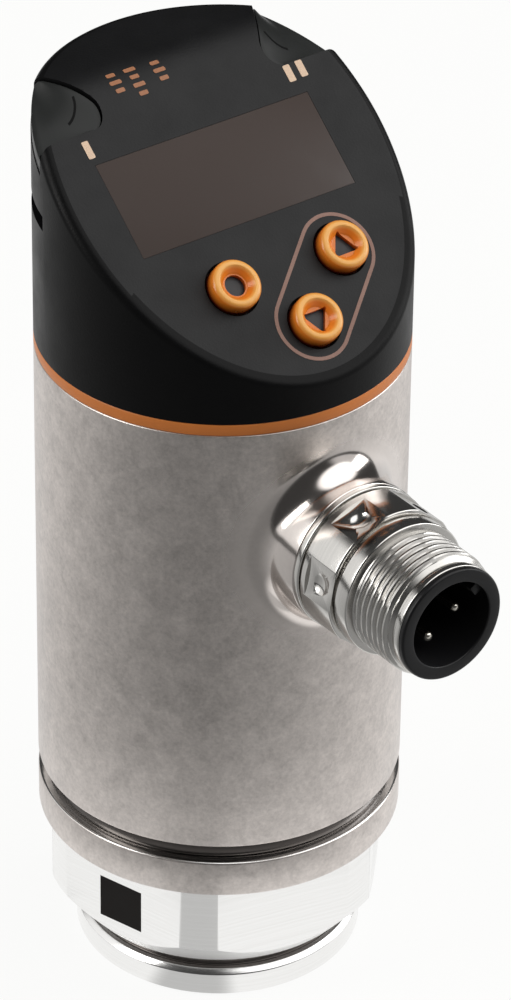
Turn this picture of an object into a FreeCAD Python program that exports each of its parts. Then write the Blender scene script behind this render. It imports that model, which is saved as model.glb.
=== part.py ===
import FreeCAD, Part
import math
import os

from FreeCAD import Placement, Rotation, Vector

# Compact pressure transmitter: a hexagon process connection with a female port, a round
# steel housing that turns on it, a moulded cap with a sloped display face and three keys,
# and a round plug connector. Millimetres. +Z is up, the display and the plug connector
# face -Y, and the origin is the centre of the foot's bottom face.

# Clearances
SEAT_CLEAR = 0.05        # radial play of pieces that are assembled and stay put
RUN_CLEAR = 0.05         # radial and axial play of the swivel
KEY_CLEAR = 0.15         # radial play of a key in its hole

# Process connection, from the foot upwards
FOOT_INSET = 3.5         # foot's edge inside the collar's
FOOT_H = 3.0
FOOT_BEVEL = 0.5
NECK_DEPTH = 1.1         # neck below the foot's edge
NECK_H = 1.5
HEX_FLAT_INSET = 2.0     # hexagon's flats inside the collar's edge
HEX_CORNER_INSET = 0.6   # hexagon's turned corners inside the collar's edge
HEX_H = 10.0
HEX_TAPER_R = 2.6        # radial run of the taper under the hexagon
HEX_TAPER_H = 3.2
HEX_CORNER_DEG = -132.6  # direction of one corner, from +X
COLLAR_H = 3.7
COLLAR_BEVEL = 0.2

# Female port and the way up to the measuring cell
PORT_R = 5.72            # thread's minor radius
PORT_DEPTH = 11.6
CHANNEL_R = 2.1
CHANNEL_H = 1.6
CHAMBER_H = 0.8

# Ceramic measuring cell, its seal, clamp ring and small board
CELL_H = 6.0
CELL_PLAY = 0.1
CELL_GAP_RIM = 3.6       # ceramic round the evacuated gap behind the diaphragm
CELL_GAP_H = 0.3
DIAPHRAGM_H = 0.7
CELL_SEAL_R = 0.9        # half the section of the seal
CELL_SEAL_WALL = 0.4     # rib between the chamber and the seal's groove
CELL_SEAL_LAND = 0.6     # seat outside the seal's groove
CLAMP_STEP = 2.0         # clamp bore is this much larger in radius than the cell bore
CLAMP_H = 3.0
CLAMP_W = 4.6            # radial width of the clamp ring
CLAMP_RIM_W = 1.5
CLAMP_RIM_H = 2.0
CLAMP_SLOT_W = 2.0
CLAMP_SLOT_H = 1.0
CLAMP_SLOT_REACH = 2.0   # slot's ends beyond the clamp ring's hole
CELL_BOARD_T = 1.2
SOCKET_R = 2.4
SOCKET_H = 2.4
SOCKET_FLOOR = 0.5
PLUG_R = 1.3
PLUG_HEAD = 0.6          # plug's head above the socket

# Swivel between the process connection and the housing
SPIGOT_WALL = 2.5
FLANGE_WALL = 3.35       # housing's turning flange
SPIGOT_H = 11.3
SWIVEL_GAP = 1.8         # visible gap between collar and housing
SLIDE_RING_SETBACK = 0.8
SLIDE_RING_ROUND = 0.55
FLANGE_H = 5.2
SWIVEL_SEAL_R = 0.75     # half the section of the seal
SWIVEL_SEAL_Z = 2.6      # above the housing's lower edge
SNAP_DEPTH = 0.9
SNAP_REACH = 1.0
SNAP_H = 1.2
SNAP_GAP_DEG = 24.0
STOP_PIN_R = 0.8
STOP_PIN_REACH = 0.9
STOP_PIN_SINK = 2.0
STOP_LUG_W = 1.6
STOP_LUG_H = 1.8
STOP_RISE = 1.5          # stop's centre above the snap ring

# Housing
BODY_R = 17.0            # housing, collar and cap
HOUSING_H = 44.5
HOUSING_WALL = 1.5
LEDGE_W = 0.5            # ledge that carries the board carrier
LEDGE_RISE = 1.5         # ledge above the spigot's top
HOUSING_BEVEL = 0.25
BOSS_R = 7.0
BOSS_REACH = 3.1         # boss face in front of the housing's surface
BOSS_ROOT = 2.5          # boss continues this far inside the surface
BOSS_FILLET = 2.7

# Orange ring and cap
RING_H = 1.2
CAP_H = 23.7
CAP_WALL = 1.6
CAP_SKIRT_H = 5.5
CAP_SKIRT_WALL = 1.4
CAP_SKIRT_LAND = 1.0
CAP_SEAL_R = 0.45
CAP_SEAL_DROP = 2.2      # seal's centre below the cap's lower edge
CAP_EDGE = 0.95          # rounding of the face's and the top's outer edge
FACE_LIP = 2.9           # cap height below the face's lowest point
FACE_TILT = 39.5         # degrees from horizontal
FACE_ROUND = 6.0         # bend between the face and the flat top
SLOT_H = 1.5
SLOT_DEPTH = 1.0
SLOT_DROP = 9.9          # slot's centre below the top
SLOT_FROM_DEG = 15.0
SLOT_TO_DEG = 50.0

# Display, in face coordinates: S runs up the slope from the face's lowest point
DISPLAY_W = 23.1
DISPLAY_H = 9.4
DISPLAY_X = -0.5
DISPLAY_S = 20.7
WINDOW_T = 0.9
WINDOW_LEDGE = 0.8
MODULE_GAP = 0.1
MODULE_MARGIN = 1.1

# Indicator lenses in the rear corners of the face
LENS_SIDE = 3.34         # inner edge, from the guide's axis along X
LENS_RUN = 21.95         # front edge, from the cap's front
LENS_LEAN = 0.56         # inner edge's drift outward on its way back
LENS_CORNER_R = 1.5
LENS_STEP = 0.14         # lens below the face at its inner front corner
LENS_SLOPE_X = -0.14
LENS_SLOPE_Y = 0.345
LENS_T = 1.4
LENS_FLOOR = 1.0
LENS_WALL = 1.0
LENS_PLAY = 0.06
GUIDE_R = 0.8            # light guide under each lens
GUIDE_INSET = 3.2        # guide's axis inside the cap's side
GUIDE_RUN = 1.7          # guide's axis behind the lens's front edge

# Keys
KEY_R = 2.35
KEY_RISE = 1.35          # above the face
KEY_EDGE = 0.45
KEY_FLANGE_W = 0.7
KEY_FLANGE_T = 0.6
KEY_REST_GAP = 0.1
KEY_WELL = 1.1           # depth of the symbol
KEY_WALL = 0.45          # key's wall round its core
DOT_R = 1.1
ARROW_R = 1.5            # centre to corner of the triangle
KEY_X = 5.9              # half the distance between the upper keys
KEY_SHIFT = 0.45         # middle of the keys, off the face's middle
KEY_S_HIGH = 10.8
KEY_S_LOW = 5.45
KEY_TRAVEL = 0.45
STEM_R = 0.75
PLUNGER_R = 0.8
PLUNGER_L = 1.0
SWITCH_W = 4.6
SWITCH_WELL = 1.7
SEAL_MAT_T = 0.8
SEAL_MAT_MARGIN = 0.4    # mat beyond a switch's edge

# Boards and what holds them
DISPLAY_BOARD_DEPTH = 6.6    # board's upper side below the face
BOARD_T = 1.2
CHIP_T = 0.9             # height of the small parts
BOARD_MARGIN = 1.2
BOARD_S_LOW = 1.8
BOARD_END = 1.1          # display board beyond the lamps' middle
LED_W = 1.6
LED_T = 1.2
MAIN_BOARD_Y = 3.2
MAIN_BOARD_RISE = 0.8    # board's top above the skirt's lower edge
MAIN_BOARD_LIFT = 0.5
TONGUE_W = 12.0
TONGUE_GAP = 1.2
HEADER_W = 9.0
HEADER_T = 2.6
HEADER_H = 4.5
CARRIER_DISC_H = 2.0
CARRIER_HOLE_R = 3.6
RAIL_INNER = 3.6         # rail's inner side, inside the housing wall
RAIL_SLOT = 1.0
RAIL_W = 4.6
RAIL_TOP_GAP = 0.5       # rail's top below the cap's skirt
LEAD_R = 0.9
LEAD_BEND = 3.0

# Plug connector: distances along -Y are measured from the body's axis
CONNECTOR_DROP = 12.7    # axis below the housing's top
SHANK_R = 5.9
SHANK_L = 4.6
FLANGE_RING_L = 0.65
LINE_W = 0.2
LINE_DEPTH = 0.4
NUT_R = 6.9
NUT_L = 4.25
NUT_FLAT = 6.62          # axis to flat
NUT_FLAT_START = 0.7
NUT_TURN_DEG = 20.0      # first flat, from +Z towards -X
DIMPLE_R = 1.0
DIMPLE_DEPTH = 0.25
COLLAR_RING_R = 6.5
COLLAR_RING_L = 1.65
THREAD_R = 6.0
THREAD_L = 5.1
UNDERCUT_R = 5.3
UNDERCUT_L = 0.4
LIP_R = 5.5
LIP_L = 0.7
CONNECTOR_BORE_R = 5.0
CONNECTOR_SEAL_R = 0.5
INSERT_LIP_R = 5.45
INSERT_LIP_L = 0.55
INSERT_LIP_EDGE = 0.22
INSERT_BACK = 1.3        # insert's rear, behind the boss face
CAVITY_R = 4.15
CAVITY_L = 8.8
CODE_KEY_W = 1.1
CODE_KEY_H = 0.75
CODE_KEY_SETBACK = 0.8
CODE_KEY_DEG = 33.0
PIN_R = 0.5
PIN_CIRCLE_R = 2.5
PIN_COUNT = 4
PIN_SETBACK = 2.3        # tips behind the insert's front
PIN_TAIL = 0.4
PIN_BOARD_T = 1.0
PIN_BOARD_R = 4.8
STRIP_W = 3.2
STRIP_T = 0.2
STRIP_BEND = 3.0
STRIP_TAIL = 4.0

# Levels along Z
hex_z = FOOT_H + NECK_H
collar_z = hex_z + HEX_H
collar_top_z = collar_z + COLLAR_H
housing_z = collar_top_z + SWIVEL_GAP
housing_top_z = housing_z + HOUSING_H
cap_z = housing_top_z + RING_H
cap_top_z = cap_z + CAP_H
spigot_top_z = collar_top_z + SPIGOT_H
ledge_z = spigot_top_z + LEDGE_RISE
cell_floor_z = PORT_DEPTH + CHANNEL_H + CHAMBER_H
cell_top_z = cell_floor_z + CELL_H
clamp_top_z = cell_top_z + CLAMP_H
cell_board_z = clamp_top_z + CLAMP_RIM_H
snap_z = housing_z + FLANGE_H + RUN_CLEAR
stop_z = snap_z + SNAP_H + STOP_RISE
connector_z = housing_top_z - CONNECTOR_DROP

# Radii that follow from the body's radius, inwards
foot_r = BODY_R - FOOT_INSET
neck_r = foot_r - NECK_DEPTH
hex_flat = BODY_R - HEX_FLAT_INSET
hex_corner_r = BODY_R - HEX_CORNER_INSET
swivel_bore_r = BODY_R - FLANGE_WALL
spigot_r = swivel_bore_r - RUN_CLEAR
clamp_bore_r = spigot_r - SPIGOT_WALL
cell_bore_r = clamp_bore_r - CLAMP_STEP
cell_r = cell_bore_r - CELL_PLAY
chamber_r = cell_r - CELL_SEAL_LAND - 2 * CELL_SEAL_R - CELL_SEAL_WALL
clamp_hole_r = clamp_bore_r - CLAMP_W
housing_bore_r = BODY_R - HOUSING_WALL
lower_bore_r = housing_bore_r - LEDGE_W
cap_bore_r = BODY_R - CAP_WALL
skirt_r = housing_bore_r - SEAT_CLEAR
skirt_bore_r = skirt_r - CAP_SKIRT_WALL

# Stations along the plug connector
boss_l = BODY_R + BOSS_REACH
nut_l = boss_l + FLANGE_RING_L + LINE_W
collar_ring_l = nut_l + NUT_L + LINE_W
thread_l = collar_ring_l + COLLAR_RING_L
undercut_l = thread_l + THREAD_L
lip_l = undercut_l + UNDERCUT_L
insert_lip_l = lip_l + LIP_L
front_l = insert_lip_l + INSERT_LIP_L
insert_back_l = boss_l - INSERT_BACK
pin_board_l = insert_back_l - PIN_BOARD_T

# Lenses, their light guides and the keys
lens_y = LENS_RUN - BODY_R
guide_y = lens_y + GUIDE_RUN
guide_x = math.sqrt((BODY_R - GUIDE_INSET) ** 2 - guide_y ** 2)
lens_x = guide_x - LENS_LEAN * GUIDE_RUN - LENS_SIDE
key_flange_r = KEY_R + KEY_FLANGE_W
key_core_r = KEY_R - KEY_WALL

# Face frame
tilt = math.radians(FACE_TILT)
face_origin = Vector(0, -BODY_R, cap_z + FACE_LIP)
face_up = Vector(0, math.cos(tilt), math.sin(tilt))
face_normal = Vector(0, -math.sin(tilt), math.cos(tilt))
Z_AXIS = Vector(0, 0, 1)
ORIGIN = Vector(0, 0, 0)


# Basic forms

def rod(radius, z_low, z_high):
    """Cylinder on the Z axis."""
    return Part.makeCylinder(radius, z_high - z_low, Vector(0, 0, z_low))


def tube(radius, bore, z_low, z_high):
    """Ring or sleeve on the Z axis."""
    return rod(radius, z_low, z_high).cut(rod(bore, z_low, z_high))


def turned(profile):
    """Solid turned about Z from (radius, z) points."""
    points = [Vector(r, 0, z) for r, z in profile]
    wire = Part.makePolygon(points + points[:1])
    return Part.Face(wire).revolve(ORIGIN, Z_AXIS, 360)


def seal(ring_r, section_r, z):
    """Round-section seal about the Z axis."""
    return Part.makeTorus(ring_r, section_r, Vector(0, 0, z), Z_AXIS)


def block(x_low, x_high, y_low, y_high, z_low, z_high):
    """Box between two corners."""
    corner = Vector(x_low, y_low, z_low)
    return Part.makeBox(x_high - x_low, y_high - y_low, z_high - z_low, corner)


def ring_sector(outer_r, inner_r, z_low, z_high, from_deg, to_deg):
    """Part of a ring between two directions from +X."""
    span = to_deg - from_deg
    outer = Part.makeCylinder(outer_r, z_high - z_low, Vector(0, 0, z_low), Z_AXIS, span)
    outer.rotate(ORIGIN, Z_AXIS, from_deg)
    return outer.cut(rod(inner_r, z_low, z_high))


def on_face(x, s, h=0.0):
    """Point at X, S up the slope and H out of the face."""
    return face_origin + Vector(x, 0, 0) + face_up * s + face_normal * h


def face_frame(x, s, h=0.0):
    """Placement whose local Z leaves the face and whose local Y climbs it."""
    return Placement(on_face(x, s, h), Rotation(Vector(1, 0, 0), FACE_TILT))


def face_rod(radius, x, s, h_low, h_high):
    """Cylinder square to the face."""
    shape = Part.makeCylinder(radius, h_high - h_low)
    shape.Placement = face_frame(x, s, h_low)
    return shape


def face_block(width, height, x, s, h_low, h_high):
    """Box square to the face, centred on X and S."""
    shape = Part.makeBox(width, height, h_high - h_low, Vector(-width / 2, -height / 2, 0))
    shape.Placement = face_frame(x, s, h_low)
    return shape


def face_prism(radius, corners, turn_deg, x, s, h_low, h_high):
    """Regular prism square to the face; TURN_DEG points its first corner."""
    points = []
    for i in range(corners):
        angle = math.radians(turn_deg + i * 360.0 / corners)
        points.append(Vector(radius * math.cos(angle), radius * math.sin(angle), 0))
    face = Part.Face(Part.makePolygon(points + points[:1]))
    shape = face.extrude(Vector(0, 0, h_high - h_low))
    shape.Placement = face_frame(x, s, h_low)
    return shape


def under_plane(point, normal):
    """Large block that fills the space behind a plane."""
    reach = 4 * BODY_R
    shape = Part.makeBox(2 * reach, 2 * reach, reach, Vector(-reach, -reach, -reach))
    shape.Placement = Placement(point, Rotation(Z_AXIS, normal))
    return shape


def along_connector(shape):
    """Turn a shape made about Z into the plug connector's line, with Z becoming -Y."""
    turn = Placement(Vector(0, 0, connector_z), Rotation(Vector(1, 0, 0), 90))
    shape.Placement = turn.multiply(shape.Placement)
    return shape


def mirrored(shape):
    """The same piece on the other side of the X = 0 plane."""
    return shape.mirror(ORIGIN, Vector(1, 0, 0))


def edges_where(shape, test):
    """Edges whose sampled points all pass a test."""
    chosen = []
    for edge in shape.Edges:
        points = edge.discretize(5)
        if all(test(p) for p in points):
            chosen.append(edge)
    return chosen


# Process connection and what it holds

def hexagon():
    """Hexagon with turned corners and a taper at its lower end."""
    corner = 2 * hex_flat / math.sqrt(3)
    points = []
    for i in range(6):
        angle = math.radians(HEX_CORNER_DEG + 60 * i)
        points.append(Vector(corner * math.cos(angle), corner * math.sin(angle), hex_z))
    prism = Part.Face(Part.makePolygon(points + points[:1])).extrude(Vector(0, 0, HEX_H))
    envelope = turned([
        (0, hex_z),
        (hex_corner_r - HEX_TAPER_R, hex_z),
        (hex_corner_r, hex_z + HEX_TAPER_H),
        (hex_corner_r, collar_z),
        (0, collar_z),
    ])
    return prism.common(envelope)


def process_connection():
    """Foot, hexagon, collar and spigot in one turned piece, bored for port and cell."""
    seal_groove = swivel_bore_r - RUN_CLEAR - 2 * SWIVEL_SEAL_R
    seal_z = housing_z + SWIVEL_SEAL_Z
    core = turned([
        (0, 0),
        (foot_r - FOOT_BEVEL, 0),
        (foot_r, FOOT_BEVEL),
        (foot_r, FOOT_H - FOOT_BEVEL),
        (foot_r - FOOT_BEVEL, FOOT_H),
        (neck_r, FOOT_H),
        (neck_r, collar_z),
        (BODY_R - COLLAR_BEVEL, collar_z),
        (BODY_R, collar_z + COLLAR_BEVEL),
        (BODY_R, collar_top_z - COLLAR_BEVEL),
        (BODY_R - COLLAR_BEVEL, collar_top_z),
        (spigot_r, collar_top_z),
        (spigot_r, seal_z - SWIVEL_SEAL_R - SEAT_CLEAR),
        (seal_groove, seal_z - SWIVEL_SEAL_R - SEAT_CLEAR),
        (seal_groove, seal_z + SWIVEL_SEAL_R + SEAT_CLEAR),
        (spigot_r, seal_z + SWIVEL_SEAL_R + SEAT_CLEAR),
        (spigot_r, snap_z),
        (spigot_r - SNAP_DEPTH, snap_z),
        (spigot_r - SNAP_DEPTH, snap_z + SNAP_H),
        (spigot_r, snap_z + SNAP_H),
        (spigot_r, spigot_top_z),
        (0, spigot_top_z),
    ])
    groove_in = chamber_r + CELL_SEAL_WALL
    bores = [
        rod(PORT_R, 0, PORT_DEPTH),
        rod(CHANNEL_R, 0, cell_floor_z),
        rod(chamber_r, cell_floor_z - CHAMBER_H, cell_floor_z),
        rod(cell_bore_r, cell_floor_z, cell_top_z),
        rod(clamp_bore_r, cell_top_z, spigot_top_z),
        tube(groove_in + 2 * CELL_SEAL_R, groove_in, cell_floor_z - 2 * CELL_SEAL_R, cell_floor_z),
        stop_pin(),
    ]
    return core.fuse(hexagon()).cut(bores).removeSplitter()


def slide_ring():
    """Polished ring in the gap, on which the housing turns."""
    shape = tube(BODY_R - SLIDE_RING_SETBACK, spigot_r, collar_top_z, housing_z - RUN_CLEAR)
    rim = BODY_R - SLIDE_RING_SETBACK
    edges = edges_where(shape, lambda p: abs(math.hypot(p.x, p.y) - rim) < 1e-4
                        and min(abs(p.z - collar_top_z), abs(p.z - housing_z + RUN_CLEAR)) < 1e-4)
    return shape.makeFillet(SLIDE_RING_ROUND, edges)


def swivel_seal():
    return seal(swivel_bore_r - RUN_CLEAR - SWIVEL_SEAL_R, SWIVEL_SEAL_R, housing_z + SWIVEL_SEAL_Z)


def retaining_ring():
    """Open snap ring above the housing's flange."""
    inner = spigot_r - SNAP_DEPTH
    half_gap = SNAP_GAP_DEG / 2
    return ring_sector(spigot_r + SNAP_REACH, inner, snap_z, snap_z + SNAP_H,
                       -90 + half_gap, 270 - half_gap)


def stop_pin():
    """Radial pin at the back of the spigot."""
    start = spigot_r - STOP_PIN_SINK
    return Part.makeCylinder(STOP_PIN_R, STOP_PIN_SINK + STOP_PIN_REACH,
                             Vector(0, start, stop_z), Vector(0, 1, 0))


def cell_seal():
    ring_r = chamber_r + CELL_SEAL_WALL + CELL_SEAL_R
    return seal(ring_r, CELL_SEAL_R, cell_floor_z - CELL_SEAL_R)


def measuring_cell():
    """Ceramic body with a thin diaphragm below a closed gap."""
    gap_z = cell_floor_z + DIAPHRAGM_H
    gap = rod(cell_r - CELL_GAP_RIM, gap_z, gap_z + CELL_GAP_H)
    return rod(cell_r, cell_floor_z, cell_top_z).cut(gap)


def cell_clamp_ring():
    """Threaded ring that presses the cell down and carries its board."""
    ring = tube(clamp_bore_r, clamp_hole_r, cell_top_z, clamp_top_z)
    rim = tube(clamp_bore_r, clamp_bore_r - CLAMP_RIM_W, clamp_top_z, cell_board_z)
    reach = clamp_hole_r + CLAMP_SLOT_REACH
    slot = block(-reach, reach, -CLAMP_SLOT_W / 2, CLAMP_SLOT_W / 2, clamp_top_z - CLAMP_SLOT_H, clamp_top_z)
    return ring.fuse(rim).cut(slot).removeSplitter()


def cell_board():
    return rod(clamp_bore_r - SEAT_CLEAR, cell_board_z, cell_board_z + CELL_BOARD_T)


def cell_board_chips():
    """Amplifier and passive parts on the cell board, as a pattern between socket and rim."""
    top = cell_board_z + CELL_BOARD_T
    width = clamp_bore_r - SEAT_CLEAR - SOCKET_R
    pattern = [(180, 0.46, 3.2, 4.2), (16, 0.40, 2.4, 2.0), (-24, 0.42, 2.4, 1.4),
               (90, 0.40, 3.6, 2.2), (-86, 0.40, 1.8, 1.2), (-123, 0.46, 1.8, 1.2)]
    chips = []
    for turn, out, wide, deep in pattern:
        reach = SOCKET_R + out * width
        x, y = reach * math.cos(math.radians(turn)), reach * math.sin(math.radians(turn))
        chips.append(block(x - wide / 2, x + wide / 2, y - deep / 2, y + deep / 2, top, top + CHIP_T))
    return Part.makeCompound(chips)


def signal_socket():
    """Round socket on the axis, in which the lead's plug turns with the housing."""
    low = cell_board_z + CELL_BOARD_T
    wall = tube(SOCKET_R, PLUG_R + 2 * RUN_CLEAR, low, low + SOCKET_H)
    return wall.fuse(rod(SOCKET_R, low, low + SOCKET_FLOOR))


# Housing

def boss_edge(p):
    on_body = abs(math.hypot(p.x, p.y) - BODY_R) < 1e-3
    return on_body and abs(math.hypot(p.x, p.z - connector_z) - BOSS_R) < 1e-3


def stop_lug():
    """Lug inside the housing's front that meets the stop pin near each end of a turn."""
    low = stop_z - STOP_LUG_H / 2
    lug = block(-STOP_LUG_W / 2, STOP_LUG_W / 2, -BODY_R + HOUSING_WALL / 2, 0, low, low + STOP_LUG_H)
    return lug.cut(rod(spigot_r + STOP_PIN_REACH / 2, low, low + STOP_LUG_H))


def housing():
    """Round shell with a turning flange below and a drawn boss for the connector."""
    outer = turned([
        (0, housing_z),
        (BODY_R - HOUSING_BEVEL, housing_z),
        (BODY_R, housing_z + HOUSING_BEVEL),
        (BODY_R, housing_top_z),
        (0, housing_top_z),
    ])
    boss = along_connector(rod(BOSS_R, BODY_R / 2, boss_l))
    outer = outer.fuse(boss)
    outer = outer.makeFillet(BOSS_FILLET, edges_where(outer, boss_edge))
    flange_top = housing_z + FLANGE_H
    hollow = [
        rod(swivel_bore_r, housing_z, flange_top),
        rod(lower_bore_r, flange_top, ledge_z),
        rod(housing_bore_r, ledge_z, housing_top_z),
    ]
    shell = outer.cut(hollow)
    root = along_connector(rod(BOSS_R, BODY_R - BOSS_ROOT, BODY_R))
    root = root.common(rod(BODY_R - HOUSING_WALL / 2, ledge_z, housing_top_z))
    hole = along_connector(rod(SHANK_R, BODY_R / 2, boss_l))
    return shell.fuse([root, stop_lug()]).cut(hole).removeSplitter()


def seal_ring():
    return tube(BODY_R, housing_bore_r, housing_top_z, cap_z)


# Cap

def head_block(inset, radius, z_low):
    """Round block under the sloped face and flat top, set in by INSET from the outside."""
    top = cap_top_z - inset
    bend = max(FACE_ROUND - inset, FACE_ROUND / 4)
    start = on_face(0, 0, -inset)
    climb = math.tan(tilt)
    corner_y = start.y + (top - start.z) / climb
    run = bend * math.tan(tilt / 2)
    reach = 2 * BODY_R
    low_front = Vector(-reach, start.y - BODY_R / 2, start.z - climb * BODY_R / 2)
    bend_start = Vector(-reach, corner_y - run * math.cos(tilt), top - run * math.sin(tilt))
    bend_end = Vector(-reach, corner_y + run, top)
    bend_mid = Vector(-reach, bend_end.y - bend * math.sin(tilt / 2),
                      top - bend + bend * math.cos(tilt / 2))
    rear = Vector(-reach, reach, top)
    rear_low = Vector(-reach, reach, z_low - BODY_R)
    front_low = Vector(-reach, low_front.y, z_low - BODY_R)
    edges = [
        Part.makeLine(low_front, bend_start),
        Part.Arc(bend_start, bend_mid, bend_end).toShape(),
        Part.makeLine(bend_end, rear),
        Part.makeLine(rear, rear_low),
        Part.makeLine(rear_low, front_low),
        Part.makeLine(front_low, low_front),
    ]
    slab = Part.Face(Part.Wire(edges)).extrude(Vector(2 * reach, 0, 0))
    return slab.common(rod(radius, z_low, cap_top_z))


def lens_outline(grow, z_low, z_high):
    """Upright prism over the right lens, grown outward by GROW."""
    reach = 2 * BODY_R
    side = lens_x - grow * math.hypot(1, LENS_LEAN)
    points = [
        Vector(side - LENS_LEAN * grow, lens_y - grow, z_low),
        Vector(reach, lens_y - grow, z_low),
        Vector(reach, lens_y + reach, z_low),
        Vector(side + LENS_LEAN * reach, lens_y + reach, z_low),
    ]
    shape = Part.Face(Part.makePolygon(points + points[:1])).extrude(Vector(0, 0, z_high - z_low))
    corner = points[0]
    edges = edges_where(shape, lambda p: math.hypot(p.x - corner.x, p.y - corner.y) < 1e-4)
    return shape.makeFillet(LENS_CORNER_R + grow, edges)


def lens_plane(depth):
    """Point and normal of the right lens's surface, lowered by DEPTH."""
    face_z = min(face_origin.z + LENS_RUN * math.tan(tilt), cap_top_z)
    point = Vector(lens_x, lens_y, face_z - LENS_STEP - depth)
    return point, Vector(-LENS_SLOPE_X, -LENS_SLOPE_Y, 1)


def lens_space(grow, depth):
    """Space over the right lens, down to DEPTH below its surface."""
    upright = lens_outline(grow, cap_z, cap_top_z + 1)
    return upright.cut(under_plane(*lens_plane(depth)))


def guide_hole(radius):
    """Way for the right light guide, from its lens down to its lamp."""
    return Part.makeCylinder(radius, CAP_H, Vector(guide_x, guide_y, cap_z + FACE_LIP))


def head_cap():
    """Moulded cap: sloped face, window and key holes, lens seats and side slots."""
    outer = head_block(0, BODY_R, cap_z)
    rim = edges_where(outer, lambda p: abs(math.hypot(p.x, p.y) - BODY_R) < 1e-3
                      and p.z > cap_z + FACE_LIP / 2)
    outer = outer.makeFillet(CAP_EDGE, rim)
    skirt_z = cap_z - CAP_SKIRT_H
    seal_z = cap_z - CAP_SEAL_DROP
    groove = tube(skirt_r + 1, skirt_r + SEAT_CLEAR - 2 * CAP_SEAL_R,
                  seal_z - CAP_SEAL_R, seal_z + CAP_SEAL_R)
    cavity = head_block(CAP_WALL, cap_bore_r, cap_z + CAP_SKIRT_LAND)
    seat = lens_space(LENS_WALL, LENS_T + LENS_FLOOR)
    cavity = cavity.cut([seat, mirrored(seat)])
    cap = outer.fuse(rod(skirt_r, skirt_z, cap_z))
    pocket = lens_space(0, LENS_T)
    cuts = [cavity, groove, pocket, mirrored(pocket), guide_hole(GUIDE_R), mirrored(guide_hole(GUIDE_R)),
            rod(skirt_bore_r, skirt_z, cap_z + CAP_SKIRT_LAND)]
    cuts += [face_rod(KEY_R + KEY_CLEAR, x, s, -2 * CAP_WALL, 1) for x, s in key_places().values()]
    cuts.append(face_block(DISPLAY_W, DISPLAY_H, DISPLAY_X, DISPLAY_S, -WINDOW_T, 1))
    cuts.append(face_block(DISPLAY_W - 2 * WINDOW_LEDGE, DISPLAY_H - 2 * WINDOW_LEDGE,
                           DISPLAY_X, DISPLAY_S, -2 * CAP_WALL, 0))
    slot_z = cap_top_z - SLOT_DROP
    slot = ring_sector(BODY_R + 1, BODY_R - SLOT_DEPTH, slot_z - SLOT_H / 2, slot_z + SLOT_H / 2,
                       SLOT_FROM_DEG, SLOT_TO_DEG)
    cuts += [slot, mirrored(slot)]
    return cap.cut(cuts).removeSplitter()


def cap_seal():
    return seal(housing_bore_r - CAP_SEAL_R, CAP_SEAL_R, cap_z - CAP_SEAL_DROP)


def display_window():
    return face_block(DISPLAY_W - 2 * SEAT_CLEAR, DISPLAY_H - 2 * SEAT_CLEAR,
                      DISPLAY_X, DISPLAY_S, -WINDOW_T, 0)


def led_lens():
    """Right lens with its light guide, which ends just above the lamp."""
    plate = lens_outline(-LENS_PLAY, cap_z, cap_top_z).common(rod(BODY_R, cap_z, cap_top_z))
    plate = plate.common(under_plane(*lens_plane(0))).cut(under_plane(*lens_plane(LENS_T)))
    lamp_top = on_face(0, status_led_s(), LED_TOP_H).z
    guide = guide_hole(GUIDE_R - LENS_PLAY).common(under_plane(*lens_plane(LENS_T / 2)))
    guide = guide.cut(rod(2 * BODY_R, 0, lamp_top + LED_W / 2 * math.sin(tilt) + SEAT_CLEAR))
    return plate.fuse(guide).removeSplitter()


# Keys

def key_places():
    return {
        "set": (KEY_SHIFT - KEY_X, KEY_S_HIGH),
        "up": (KEY_SHIFT + KEY_X, KEY_S_HIGH),
        "down": (KEY_SHIFT, KEY_S_LOW),
    }


def key_symbol(name, x, s, h_low, h_high):
    """Opening in a key: a round dot, or a triangle that points up or down the slope."""
    if name == "set":
        return face_rod(DOT_R, x, s, h_low, h_high)
    turn = 90 if name == "up" else -90
    return face_prism(ARROW_R, 3, turn, x, s, h_low, h_high)


key_flange_top = -CAP_WALL - KEY_REST_GAP
key_flange_low = key_flange_top - KEY_FLANGE_T
key_core_top = KEY_RISE - KEY_WELL
mat_top = key_flange_low - KEY_TRAVEL - KEY_REST_GAP
switch_top = mat_top - SEAL_MAT_T
LED_TOP_H = -DISPLAY_BOARD_DEPTH + LED_T


def status_led_s():
    """Place up the slope of the lamps, so that they lie under the light guides."""
    return (guide_y + BODY_R + LED_TOP_H * math.sin(tilt)) / math.cos(tilt)


def key_cap(name, x, s):
    """Rounded ring with its symbol cut through and a flange that stays under the cap."""
    barrel = face_rod(KEY_R, x, s, key_flange_low, KEY_RISE)
    top = on_face(x, s, KEY_RISE)
    edges = edges_where(barrel, lambda p: abs((p - top).dot(face_normal)) < 1e-4)
    barrel = barrel.makeFillet(KEY_EDGE, edges)
    flange = face_rod(key_flange_r, x, s, key_flange_low, key_flange_top)
    well = face_rod(key_core_r, x, s, key_flange_low, key_core_top)
    return barrel.fuse(flange).cut([well, key_symbol(name, x, s, 0, KEY_RISE + 1)]).removeSplitter()


def key_core(x, s):
    """Dark core that closes the symbol from below, with the stem to the switch."""
    core = face_rod(key_core_r, x, s, key_flange_low, key_core_top)
    return core.fuse(face_rod(STEM_R, x, s, switch_top, key_flange_low)).removeSplitter()


def key_plunger(x, s):
    return face_rod(PLUNGER_R, x, s, switch_top - PLUNGER_L, switch_top)


def key_switches():
    """Three small switches on the display board, each with a well for its plunger."""
    switches = []
    for x, s in key_places().values():
        body = face_block(SWITCH_W, SWITCH_W, x, s, -DISPLAY_BOARD_DEPTH, switch_top)
        well = face_rod(PLUNGER_R + KEY_CLEAR, x, s, switch_top - SWITCH_WELL, switch_top)
        switches.append(body.cut(well))
    return Part.makeCompound(switches)


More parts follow.
